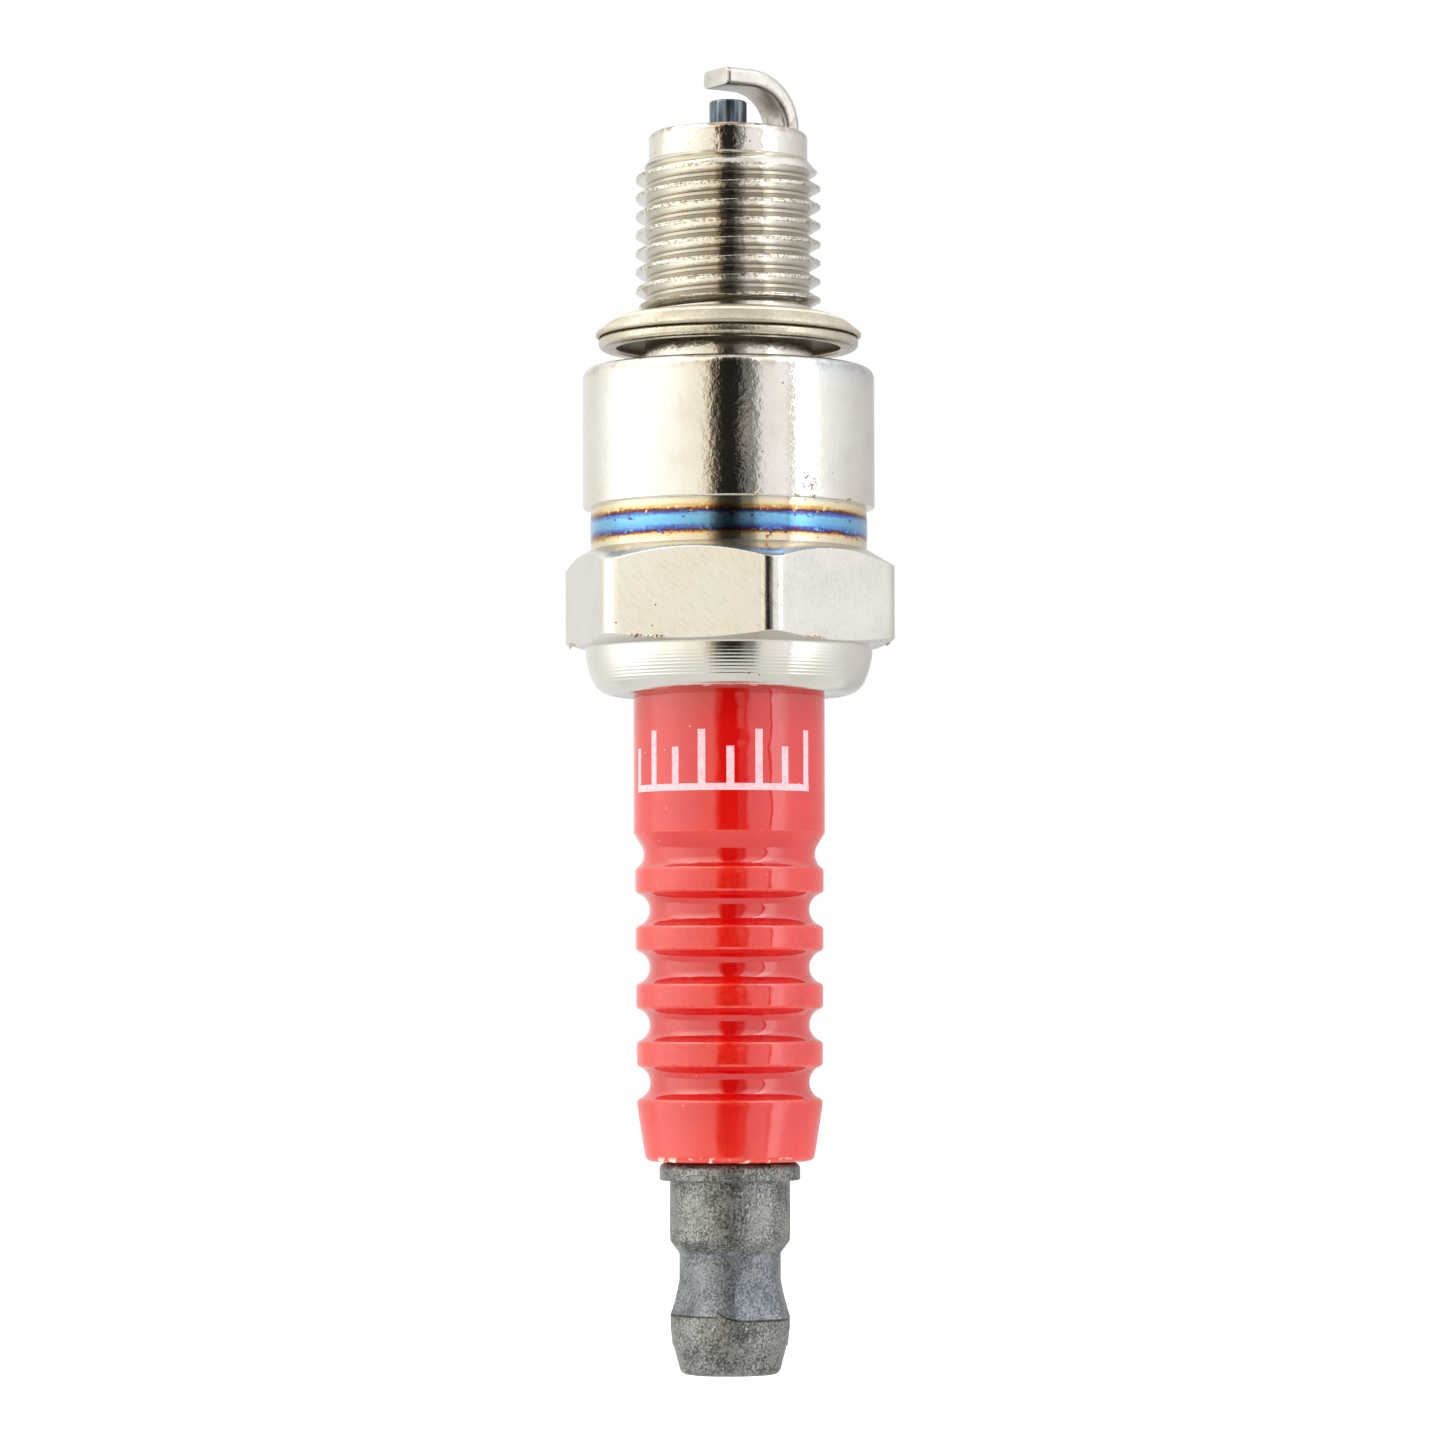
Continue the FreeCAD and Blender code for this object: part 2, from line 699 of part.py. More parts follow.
def seat_washer():
    """The thin washer pressed onto the shell's seat cone."""
    inner = ledge_bore_d / 2 + washer_inset
    outer = barrel_bore_d / 2 - washer_inset
    low = washer_thickness + fit_gap
    return lathe([
        (inner, seat_z(inner, fit_gap)),
        (outer, seat_z(outer, fit_gap)),
        (outer, seat_z(outer, low)),
        (inner, seat_z(inner, low)),
    ])


def packing_ring(z):
    """A ring of wire round the insulator's head."""
    return Part.makeTorus(packing_r, packing_wire_r, at(0, z))


def talc_ring():
    """The talc powder pressed between the packing rings."""
    outer = Part.makeCylinder(main_bore_d / 2 - fit_gap, talc_length, at(0, talc_bottom))
    return outer.cut(Part.makeCylinder(head_d / 2 - glaze + fit_gap, talc_length, at(0, talc_bottom)))


nodes = {
    "metal_shell": metal_shell(),
    "ground_electrode": ground_electrode(),
    "gasket": gasket(),
    "insulator": insulator(),
    "center_electrode": center_electrode(),
    "copper_core": copper_core(),
    "glass_seal": glass_seal(),
    "terminal_stud": terminal_stud(),
    "terminal_nut": terminal_nut(),
    "seat_washer": seat_washer(),
    "lower_packing_ring": packing_ring(lower_packing_z),
    "talc_ring": talc_ring(),
    "upper_packing_ring": packing_ring(upper_packing_z),
}

os.makedirs("parts", exist_ok=True)
for name, shape in nodes.items():
    solids = shape.Solids
    box = shape.optimalBoundingBox()
    print(name, "solids", len(solids), "valid", shape.isValid(), "volume", round(shape.Volume, 3),
          "z", round(box.ZMin, 3), round(box.ZMax, 3), "x", round(box.XMin, 3), round(box.XMax, 3))
    shape.exportStep("parts/" + name + ".step")
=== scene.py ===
import math

import bpy
import numpy as np
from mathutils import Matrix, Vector


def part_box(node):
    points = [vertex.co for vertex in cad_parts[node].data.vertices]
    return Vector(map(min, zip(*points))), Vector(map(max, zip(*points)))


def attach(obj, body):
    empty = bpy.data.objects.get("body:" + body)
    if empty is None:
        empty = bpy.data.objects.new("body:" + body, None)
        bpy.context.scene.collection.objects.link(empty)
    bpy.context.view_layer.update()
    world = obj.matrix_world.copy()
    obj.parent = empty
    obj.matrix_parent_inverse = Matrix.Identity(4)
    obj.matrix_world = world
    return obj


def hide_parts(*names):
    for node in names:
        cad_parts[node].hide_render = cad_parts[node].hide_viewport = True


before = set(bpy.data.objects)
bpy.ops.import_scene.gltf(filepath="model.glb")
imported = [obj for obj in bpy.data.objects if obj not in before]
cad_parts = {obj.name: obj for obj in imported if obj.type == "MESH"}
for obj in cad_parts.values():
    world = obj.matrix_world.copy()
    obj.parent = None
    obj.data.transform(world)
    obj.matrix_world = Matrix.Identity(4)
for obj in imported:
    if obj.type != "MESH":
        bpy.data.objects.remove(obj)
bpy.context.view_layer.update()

# ---------------------------------------------------------------------------------------------
# Shell. A cold-formed steel body with a rolled M10 thread, a hexagon, and a collar that is
# crimped over the insulator. Nickel plated all over in a barrel, then the groove between body
# and hexagon is heated and shrunk, which leaves temper colours on the plating.

MM = 0.001


def rounded(corners, steps=5):
    """An outline from corners (x, y, rounding), where each rounding becomes an arc."""
    points = []
    for k, (x, y, rounding) in enumerate(corners):
        here = np.array((x, y), float)
        if rounding == 0:
            points.append(here)
            continue
        back = np.array(corners[k - 1][:2]) - here
        ahead = np.array(corners[k + 1][:2]) - here
        back /= np.linalg.norm(back)
        ahead /= np.linalg.norm(ahead)
        half = math.acos(np.clip(back @ ahead, -1, 1)) / 2
        middle = (back + ahead) / np.linalg.norm(back + ahead)
        centre = here + middle * rounding / math.sin(half)
        first = here + back * rounding / math.tan(half) - centre
        last = here + ahead * rounding / math.tan(half) - centre
        start = math.atan2(first[1], first[0])
        sweep = (math.atan2(last[1], last[0]) - start + math.pi) % (2 * math.pi) - math.pi
        for share in np.linspace(0, 1, steps + 1):
            turn = start + sweep * share
            points.append(centre + rounding * np.array((math.cos(turn), math.sin(turn))))
    return points


def arc(first, through, last, steps=8):
    """Points on the circle through three points, from the first to the last."""
    a, b, c = (complex(*p) for p in (first, through, last))
    w = (c - a) / (b - a)
    centre = (b - a) * (w - abs(w) ** 2) / (2j * w.imag) + a
    start = np.angle(a - centre)
    sweep = np.angle((b - centre) / (a - centre)) + np.angle((c - centre) / (b - centre))
    turns = start + sweep * np.linspace(0, 1, steps + 1)
    points = centre + abs(a - centre) * np.exp(1j * turns)
    return [np.array((p.real, p.imag)) for p in points]


def skin(name, grid, marks=None, mark_name="mark", sharp=32):
    """A closed mesh from a grid of points in millimetres, joined where points coincide.

    grid[i][j] is the point of row i in column j, and each next row and column is joined to the last.
    """
    grid = np.asarray(grid, float)
    rows, columns = grid.shape[:2]
    flat = np.round(grid.reshape(-1, 3), 5)
    _, first, same = np.unique(np.round(flat * 2e4).astype(np.int64), axis=0, return_index=True,
                                  return_inverse=True)
    same = same.reshape(rows, columns)
    faces = []
    for i in range(rows - 1):
        for j in range(columns - 1):
            ring = [same[i, j], same[i, j + 1], same[i + 1, j + 1], same[i + 1, j]]
            ring = [v for k, v in enumerate(ring) if v != ring[k - 1]]
            if len(set(ring)) == len(ring) and len(ring) > 2:
                faces.append(ring)
    mesh = bpy.data.meshes.new(name)
    mesh.from_pydata(grid.reshape(-1, 3)[first] * MM, [], faces)
    if marks is not None:
        layer = mesh.attributes.new(mark_name, "FLOAT", "POINT")
        layer.data.foreach_set("value", np.asarray(marks, float).reshape(-1)[first])
    mesh.shade_smooth()
    mesh.set_sharp_from_angle(angle=math.radians(sharp))
    mesh.validate()
    piece = bpy.data.objects.new(name, mesh)
    bpy.context.collection.objects.link(piece)
    return piece


def dense(outline, step):
    """The outline with points added so that none are further apart than step."""
    points = [np.array(outline[0], float)]
    for there in outline[1:]:
        there = np.array(there, float)
        here = points[-1]
        count = max(1, math.ceil(np.linalg.norm(there - here) / step))
        points += [here + (there - here) * k / count for k in range(1, count + 1)]
    return points


def turn(outline, angle):
    """The points of an outline (r, z) at an angle about the plug's axis."""
    r, z = np.asarray(outline).T
    return np.stack([r * math.cos(angle), r * math.sin(angle), z], axis=1)


def ring_grid(outline, angles):
    """The grid of an outline (r, z) turned through all the angles."""
    return np.stack([turn(outline, a) for a in angles], axis=1)


REACH = 12.7
NOSE_R = 4.25
NECK_R = 4.5
CREST_R = 4.935
THREAD_LOW, THREAD_HIGH = 3.0, 11.2
PITCH = 1.0
THREAD_DEPTH = 0.585
CREST_PHASE = 0.7
CREST_HALF = 0.087
SEAM_DEPTH = 0.03
BODY_R = 7.8
BODY_END = -7.5
GROOVE_R = 7.35
GROOVE_END = -9.75
HEX_HALF = 8.0
HEX_ROUND = 1.2
HEX_CORNER = -75.0
HEX_TOP_R = 7.4
HEX_END = -15.0
CHAMFER = math.tan(math.radians(31))
LOW_CHAMFER = math.tan(math.radians(16))
COLLAR_R = 7.65
COLLAR_END = -17.45
LIP_R = 5.13
NOSE_BORE_R = 3.0
LEDGE_R = 2.8
SEAT_BORE_R = 3.5
BARREL_R = 6.05
EDGE_ROUND = 0.07
RUBBED = 0.7
NECK_TAPER = 0.25
NOSE_TAPER = 0.86
RING_PITCH = 0.18
RING_DEPTH = 0.012


def hex_radius(angle):
    """Distance from the axis to the rounded hexagon in a direction."""
    off = abs((math.degrees(angle) - HEX_CORNER + 30) % 60 - 30)
    centre = (HEX_HALF - HEX_ROUND) / math.cos(math.radians(30))
    rise = HEX_ROUND * math.sin(math.radians(30))
    tangent = math.degrees(math.atan2(rise, centre + HEX_ROUND * math.cos(math.radians(30))))
    if off > tangent:
        return HEX_HALF / math.cos(math.radians(30 - off))
    side = centre * math.sin(math.radians(off))
    return centre * math.cos(math.radians(off)) + math.sqrt(HEX_ROUND ** 2 - side ** 2)


def thread_column(angle):
    """Rows that climb with the rolled thread, from the nose down to the neck."""
    stations = [-0.5, -0.44, -0.42, -0.34, -0.22, -0.11, -0.082, -0.045, -0.02, 0, 0.02, 0.045, 0.082,
                0.11, 0.22, 0.34, 0.42, 0.44]
    slope = 1 / math.tan(math.radians(30))
    rows = []
    for m in range(12, 0, -1):
        for off in reversed(stations):
            along = m + angle / (2 * math.pi)
            z = np.clip(CREST_PHASE + PITCH * (along + off), THREAD_LOW, THREAD_HIGH)
            r = CREST_R - np.clip((abs(off) - CREST_HALF) * slope, -0.012, THREAD_DEPTH)
            if abs(off) < 0.03:
                pits = math.sin(41 * along) + math.sin(97.3 * along + 1) + math.sin(23.7 * along + 2)
                r -= SEAM_DEPTH * (0.7 + 0.3 * pits) * (1 - abs(off) / 0.03)
            r = max(r, NECK_R - (z - THREAD_LOW) * NECK_TAPER)
            r = min(r, NECK_R + (z - THREAD_LOW))
            r = min(r, NOSE_R + (THREAD_HIGH - z) * NOSE_TAPER)
            rows.append(np.array((r, z)))
    return rows


nose = rounded([(NOSE_BORE_R, REACH, 0), (NOSE_R, REACH, 0.35), (NOSE_R, THREAD_HIGH, 0)])
body = rounded([
    (NECK_R, THREAD_LOW, 0), (NECK_R, 0.0, 0), (BODY_R, 0.0, 0.55), (BODY_R, BODY_END, 0.14),
    (GROOVE_R, BODY_END, 0),
])
groove = arc((GROOVE_R, BODY_END - 0.05), (GROOVE_R + 0.05, (BODY_END + GROOVE_END) / 2),
             (GROOVE_R, GROOVE_END), 12)
collar = arc((COLLAR_R, HEX_END - 0.32), (7.56, -15.85), (7.33, -16.55))
collar += arc((7.33, -16.55), (7.0, -17.1), (6.3, COLLAR_END))[1:]
collar = [p - (RING_DEPTH * (0.5 - 0.5 * math.cos(2 * math.pi * p[1] / RING_PITCH)), 0)
          for p in dense(collar, RING_PITCH / 5)]
collar += rounded([(6.3, COLLAR_END, 0), (LIP_R + 0.2, -17.33, 0.1), (LIP_R, -17.15, 0)])[1:]
bore = [(LIP_R, -16.85), (5.575, -16.805), (5.9, -16.67), (BARREL_R, -16.34), (BARREL_R, -4.85),
        (SEAT_BORE_R, -2.3), (SEAT_BORE_R, 4.096), (LEDGE_R, 4.5), (LEDGE_R, 5.2), (NOSE_BORE_R, 5.4),
        (NOSE_BORE_R, REACH)]


def shell_column(angle):
    """The closed outline of the shell in one direction."""
    r = hex_radius(angle)
    top = GROOVE_END - (r - HEX_TOP_R) * CHAMFER
    bottom = HEX_END + (r - COLLAR_R) * LOW_CHAMFER
    hexagon = rounded([
        (HEX_TOP_R, GROOVE_END, 0), (r, top, EDGE_ROUND), (r, bottom, EDGE_ROUND),
        (COLLAR_R, HEX_END, 0.15), (COLLAR_R, HEX_END - 0.3, 0),
    ], 4)
    return turn(nose + thread_column(angle) + body + groove + hexagon + collar + bore, angle)


angles = [k / 300 for k in range(301)]
for corner in range(6):
    middle = (HEX_CORNER + 60 * corner) / 360
    angles += [(middle + step / 360) % 1 for step in np.linspace(-3.2, 3.2, 22)]
angles = sorted(set(np.round(angles, 7)))
shell = skin("shell_skin", np.stack([shell_column(2 * math.pi * a) for a in angles], axis=1))


def linear(code):
    """A colour in linear light from its sRGB hex code."""
    parts = [int(code[k:k + 2], 16) / 255 for k in (1, 3, 5)]
    return [p / 12.92 if p <= 0.04045 else ((p + 0.055) / 1.055) ** 2.4 for p in parts] + [1.0]


def put(tree, kind, inputs=None, **settings):
    """Adds a node with its settings. An input that is a socket is linked, and a value is set."""
    node = tree.nodes.new(kind)
    for name, value in settings.items():
        setattr(node, name, value)
    for name, value in (inputs or {}).items():
        if isinstance(value, bpy.types.NodeSocket):
            tree.links.new(value, node.inputs[name])
        else:
            node.inputs[name].default_value = value
    return node


def start(name):
    """A new material, its node tree, its shader and the place on the piece in millimetres."""
    material = bpy.data.materials.new(name)
    material.use_nodes = True
    tree = material.node_tree
    shader = tree.nodes["Principled BSDF"]
    place = put(tree, "ShaderNodeTexCoord").outputs["Object"]
    place = put(tree, "ShaderNodeVectorMath", {0: place, "Scale": 1 / MM}, operation="SCALE").outputs[0]
    return material, tree, shader, place


def span(tree, value, low, high, first=0.0, last=1.0):
    """A value from low to high spread over first to last, and held at the ends."""
    return put(tree, "ShaderNodeMapRange", {"Value": value, "From Min": low, "From Max": high,
                                            "To Min": first, "To Max": last}).outputs[0]


def maths(tree, operation, *values):
    """The result of a maths node on sockets or numbers."""
    return put(tree, "ShaderNodeMath", dict(enumerate(values)), operation=operation).outputs[0]


def noise(tree, place, size, detail=3.0, **inputs):
    """Noise with grains of a size in millimetres."""
    return put(tree, "ShaderNodeTexNoise", {"Vector": place, "Scale": 1 / size, "Detail": detail,
                                            **inputs}).outputs["Fac"]


def stretched(tree, place, sizes, turned=(0.0, 0.0, 0.0)):
    """The place scaled so that noise of size 1 has grains of the given sizes along X, Y and Z."""
    return put(tree, "ShaderNodeMapping", {"Vector": place, "Rotation": turned, "Scale": sizes},
               vector_type="TEXTURE").outputs[0]


def axis(tree, place, letter):
    """One coordinate of the place."""
    return put(tree, "ShaderNodeSeparateXYZ", {"Vector": place}).outputs[letter]


def ramp(tree, factor, stops):
    """A colour ramp's colour from stops (position, hex code)."""
    node = put(tree, "ShaderNodeValToRGB", {"Fac": factor})
    marks = node.color_ramp.elements
    marks[0].position, marks[0].color = stops[0][0], linear(stops[0][1])
    marks[1].position, marks[1].color = stops[-1][0], linear(stops[-1][1])
    for position, code in stops[1:-1]:
        marks.new(position).color = linear(code)
    return node.outputs["Color"]


def stain(tree, shader, share, code):
    """Lays one more colour over the shader's colour, by a share from 0 to 1."""
    under = shader.inputs["Base Color"].links[0].from_socket
    over = put(tree, "ShaderNodeMix", {"Factor": share, 6: under, 7: linear(code)}, data_type="RGBA")
    tree.links.new(over.outputs[2], shader.inputs["Base Color"])


def relief(tree, shader, height, depth):
    """Adds a bump of a depth in millimetres over the shader's bumps so far."""
    bump = put(tree, "ShaderNodeBump", {"Height": height, "Distance": depth * MM, "Strength": 1.0})
    for link in shader.inputs["Normal"].links:
        tree.links.new(link.from_socket, bump.inputs["Normal"])
    tree.links.new(bump.outputs[0], shader.inputs["Normal"])


def dots(tree, place, spacing, size):
    """Round specks of a size, one to each cell of the spacing, all in millimetres."""
    cells = put(tree, "ShaderNodeTexVoronoi", {"Vector": place, "Scale": 1 / spacing, "Randomness": 1.0})
    return span(tree, cells.outputs["Distance"], size / spacing, 1.6 * size / spacing, 1.0, 0.0)


def plated(name, grain, height, roughness):
    """Barrel nickel over steel: warm silver, fine orange peel, and a few dark pinholes."""
    material, tree, shader, place = start(name)
    cloud = noise(tree, place, 2.5, 4.0)
    tree.links.new(ramp(tree, cloud, [(0.3, "#CDC9C1"), (0.5, "#D3D0CA"), (0.7, "#D7D5D1")]),
                   shader.inputs["Base Color"])
    stain(tree, shader, dots(tree, place, 1.1, 0.035), "#4A3D30")
    tree.links.new(span(tree, cloud, 0.3, 0.7, roughness * 0.8, roughness * 1.25),
                   shader.inputs["Roughness"])
    relief(tree, shader, noise(tree, place, grain), height)
    shader.inputs["Metallic"].default_value = 1.0
    return material, tree, shader, place


def bright_nickel():
    """Barrel nickel on the body, with a brown line of dried acid round its rim and a blue haze."""
    material, tree, shader, place = plated("bright_nickel", 0.28, 0.014, 0.09)
    relief(tree, shader, noise(tree, place, 0.13), 0.005)
    height = axis(tree, place, "Z")
    patchy = noise(tree, place, 0.7, 4.0)
    rim = maths(tree, "MULTIPLY", span(tree, height, -0.8, -0.45), span(tree, patchy, 0.4, 0.7, 0.0, 0.5))
    stain(tree, shader, rim, "#8A6E50")
    haze = maths(tree, "MULTIPLY", span(tree, height, -1.4, -0.6),
                 span(tree, axis(tree, place, "X"), 2.6, 4.6, 0.0, 0.25))
    stain(tree, shader, haze, "#86B2CE")
    spot = put(tree, "ShaderNodeVectorMath", {0: place, 1: (4.2, -6.57, -6.75)}, operation="DISTANCE")
    scuff = maths(tree, "MULTIPLY", span(tree, spot.outputs["Value"], 0.35, 0.6, 1.0, 0.0),
                  span(tree, noise(tree, place, 0.16, 3.0), 0.48, 0.6))
    stain(tree, shader, scuff, "#6E6A66")
    return material


def stained_nickel():
    """Nickel on the nose: a coarser peel, and a brown stain where its end was welded."""
    material, tree, shader, place = plated("stained_nickel", 0.45, 0.035, 0.11)
    patchy = noise(tree, place, 0.5, 4.0)
    rim = maths(tree, "MULTIPLY", span(tree, axis(tree, place, "Z"), 12.25, 12.6),
                span(tree, patchy, 0.35, 0.6, 0.1, 0.9))
    stain(tree, shader, rim, "#7A5B44")
    stain(tree, shader, span(tree, patchy, 0.62, 0.74, 0.0, 0.6), "#C49A6A")
    return material


def rolled_nickel():
    """Nickel on the rolled thread and the neck: golden beige dirt sits in the pits of the crests, and painted
    shade greys the roots.
    """
    material, tree, shader, place = plated("rolled_nickel", 0.22, 0.010, 0.15)
    speck = noise(tree, place, 0.17, 3.0)
    out = put(tree, "ShaderNodeVectorMath", {0: place, 1: (1.0, 1.0, 0.0)}, operation="MULTIPLY")
    out = put(tree, "ShaderNodeVectorMath", {0: out.outputs[0]}, operation="LENGTH").outputs["Value"]
    crest = maths(tree, "MULTIPLY", span(tree, out, CREST_R - 0.12, CREST_R - 0.03),
                  span(tree, speck, 0.45, 0.62, 0.0, 0.8))
    stain(tree, shader, crest, "#8C7C62")
    # Painted shade: grey-beige laid more thickly deeper down the flanks, into the thread roots.
    stain(tree, shader, span(tree, out, CREST_R - 0.4, CREST_R - THREAD_DEPTH, 0.0, 0.6), "#988C76")
    return material


def drawn_nickel(name, roughness):
    """Plating over the hexagon: satin with fine slanting scratches, or brighter where it is rubbed."""
    material, tree, shader, place = plated(name, 0.1, 0.006, roughness)
    scratch = noise(tree, stretched(tree, place, (0.14, 0.14, 7.0), (0.0, -0.85, 0.0)), 1.0)
    relief(tree, shader, scratch, 0.005)
    stain(tree, shader, span(tree, scratch, 0.5, 0.75, 0.0, 0.3), "#B1A78F")
    return material


def turned_nickel():
    """Plating over the turned and crimped collar: satin, between the rings that the tool left."""
    material, tree, shader, place = plated("turned_nickel", 0.2, 0.004, 0.17)
    fine = noise(tree, stretched(tree, place, (3.0, 3.0, 0.07)), 1.0, 3.0)
    relief(tree, shader, fine, 0.004)
    return material


def tempered_nickel():
    """Plating that was heated red hot at the groove: straw, brown, purple and blue oxide colours."""
    material, tree, shader, place = plated("tempered_nickel", 0.2, 0.004, 0.15)
    sway = span(tree, noise(tree, stretched(tree, place, (2.0, 2.0, 0.16)), 1.0), 0.0, 1.0, -0.2, 0.2)
    grain = span(tree, noise(tree, place, 0.16, 2.0), 0.0, 1.0, -0.1, 0.1)
    fleck = span(tree, noise(tree, place, 0.3, 3.0), 0.6, 0.7, 0.0, 0.28)
    moved = maths(tree, "ADD", maths(tree, "ADD", axis(tree, place, "Z"), sway), grain)
    share = span(tree, maths(tree, "ADD", moved, fleck), GROOVE_END, BODY_END)
    tree.links.new(ramp(tree, share, [
        (0.0, "#CFC8B8"), (0.13, "#D6C9A4"), (0.2, "#B48A52"), (0.235, "#744228"), (0.265, "#4A2C54"),
        (0.31, "#4A62A8"), (0.4, "#68A0CA"), (0.58, "#74AED0"), (0.66, "#4C68AE"), (0.71, "#4A2C54"),
        (0.745, "#784828"), (0.79, "#B98F58"), (0.87, "#DBCCA4"), (1.0, "#D0CBBE"),
    ]), shader.inputs["Base Color"])
    return material


def finish_numbers(piece):
    """The numbers of a piece's materials by their names."""
    return {material.name: k for k, material in enumerate(piece.data.materials)}


for finish in (bright_nickel(), rolled_nickel(), drawn_nickel("drawn_nickel", 0.27), turned_nickel(),
               tempered_nickel(), stained_nickel(), drawn_nickel("rubbed_nickel", 0.13)):
    shell.data.materials.append(finish)
shell_finish = finish_numbers(shell)
flat_half = math.degrees(math.atan((HEX_HALF * math.tan(math.radians(30)) - RUBBED) / HEX_HALF))
for face in shell.data.polygons:
    middle = face.center / MM
    r = math.hypot(middle.x, middle.y)
    from_flat = abs((math.degrees(math.atan2(middle.y, middle.x)) - HEX_CORNER) % 60 - 30)
    if middle.z > THREAD_HIGH:
        face.material_index = shell_finish["stained_nickel"]
    elif middle.z > 0.05 or r < BARREL_R + 0.05:
        face.material_index = shell_finish["rolled_nickel"]
    elif middle.z < HEX_END:
        face.material_index = shell_finish["turned_nickel"]
    elif middle.z < GROOVE_END:
        face.material_index = shell_finish["drawn_nickel" if from_flat < flat_half else "rubbed_nickel"]
    elif middle.z < BODY_END - 0.02:
        face.material_index = shell_finish["tempered_nickel"]
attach(shell, "plug")
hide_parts("metal_shell")

# ---------------------------------------------------------------------------------------------
# Burrs. Thin curls of steel that the tools pushed over the edges of the hexagon and the body.
# They tumbled in the plating barrel with the shell, and their thin plating has gone golden.


def burr(name, path, size, seed):
    """A crumpled curl along a path of points in millimetres, thin at both ends."""
    path = np.asarray(path)
    share = np.linspace(0, 1, len(path))
    along = np.gradient(path, axis=0)
    along /= np.linalg.norm(along, axis=1)[:, None]
    out = path * (1, 1, 0)
    out /= np.linalg.norm(out, axis=1)[:, None]
    down = np.cross(along, out)
    wave = np.sin(share * 21 + seed) * np.sin(share * 9.3 + 2 * seed)
    thick = size * np.clip(np.sin(share * math.pi) * (0.55 + 0.45 * wave), 0.02, 1)
    thick[[0, -1]] = 0
    sway = 0.5 * size * wave * np.sin(share * math.pi)
    middle = path + out * (0.25 * thick)[:, None] + down * sway[:, None]
    columns = []
    for a in np.linspace(0, 2 * math.pi, 9):
        reach = thick * (1 + 0.3 * np.sin(5 * a + seed + 17 * share))
        columns.append(middle + out * (0.55 * math.cos(a) * reach)[:, None]
                       + down * (math.sin(a) * reach)[:, None])
    return skin(name, np.stack(columns, axis=1), sharp=50)


def torn_nickel():
    """Torn plating on the curls: thin, half matt, and golden brown in its creases."""
    material, tree, shader, place = plated("torn_nickel", 0.08, 0.012, 0.28)
    stain(tree, shader, span(tree, noise(tree, place, 0.12), 0.4, 0.62, 0.1, 0.85), "#A5824E")
    return material


def hexagon_edge(first, last):
    """Points along the hexagon's lower edge between two directions in degrees."""
    points = []
    for a in np.radians(np.linspace(first, last, 26)):
        r = hex_radius(a)
        points.append((r * math.cos(a), r * math.sin(a), HEX_END + (r - COLLAR_R) * LOW_CHAMFER + 0.05))
    return points


def body_edge(first, last):
    """Points along the body's lower edge between two directions in degrees."""
    r = BODY_R - 0.03
    turns = np.radians(np.linspace(first, last, 26))
    return [(r * math.cos(a), r * math.sin(a), BODY_END + 0.12) for a in turns]


golden = torn_nickel()
for k, (path, size) in enumerate([
    (hexagon_edge(-129, -121), 0.13), (hexagon_edge(-122, -114), 0.19), (hexagon_edge(-62, -51), 0.17),
    (hexagon_edge(-190, -177), 0.16), (hexagon_edge(-12, 2), 0.13), (hexagon_edge(66, 78), 0.15),
    (body_edge(-81, -77), 0.16), (body_edge(-66, -59), 0.11), (body_edge(-58, -53), 0.13),
    (body_edge(-37, -34), 0.14), (body_edge(120, 128), 0.12),
]):
    curl = burr(f"burr_{k}", path, size, 1.7 * k)
    curl.data.materials.append(golden)
    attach(curl, "plug")

# ---------------------------------------------------------------------------------------------
# Ground electrode. A flat bar of nickel alloy, cut to length, resistance welded to the end of
# the shell's nose and bent over the centre electrode to set the gap.

STRAP_WIDTH = 2.4
STRAP_THICKNESS = 0.95
STRAP_ROUND = 0.32
STRAP_FOOT = 3.9
STRAP_BEND = (0.9, 13.15)
STRAP_END = -0.8
STRAP_ANGLE = 33.0
CUT_ROUND = 0.07


def strap_section(shrink):
    """The bar's cross-section, smaller by shrink all round: (across, through) points."""
    w = STRAP_WIDTH / 2 - shrink
    t = STRAP_THICKNESS / 2 - shrink
    edge = max(STRAP_ROUND - shrink, 0.02)
    corners = [(0, -t, 0), (w, -t, edge), (w, t, edge), (-w, t, edge), (-w, -t, edge), (0, -t, 0)]
    return rounded(corners, 8)


def strap_rows():
    """Rings along the bar, each (middle x, middle z, lean, shrink), from the weld to the cut end."""
    middle = STRAP_FOOT - STRAP_THICKNESS / 2
    bend = middle - STRAP_BEND[0]
    rows = [(middle, REACH - 0.05, 0, STRAP_THICKNESS / 2)]
    rows += [(middle, REACH + up, 0, -grow) for up, grow in ((-0.05, 0.16), (0.03, 0.13), (0.09, 0.06),
                                                             (0.16, 0.02), (0.26, 0.0))]
    for lean in np.linspace(0, 90, 31):
        a = math.radians(lean)
        rows.append((STRAP_BEND[0] + bend * math.cos(a), STRAP_BEND[1] + bend * math.sin(a), a, 0))
    arm_z = STRAP_BEND[1] + bend
    for share in np.linspace(0, 90, 6):
        a = math.radians(share)
        x = STRAP_END + CUT_ROUND * (1 - math.sin(a))
        rows.append((x, arm_z, math.pi / 2, CUT_ROUND * (1 - math.cos(a))))
    rows.append((STRAP_END, arm_z, math.pi / 2, STRAP_THICKNESS / 2))
    return rows


strap_grid = []
for x, z, lean, shrink in strap_rows():
    ring = []
    closing = shrink >= STRAP_THICKNESS / 2
    for across, through in strap_section(0 if closing else shrink):
        if closing:
            across, through = 0.0, 0.0
        out = x + through * math.cos(lean)
        up = z + through * math.sin(lean)
        turned = math.radians(STRAP_ANGLE)
        ring.append((out * math.cos(turned) - across * math.sin(turned),
                     out * math.sin(turned) + across * math.cos(turned), up))
    strap_grid.append(ring)
strap = skin("ground_electrode_bar", strap_grid)


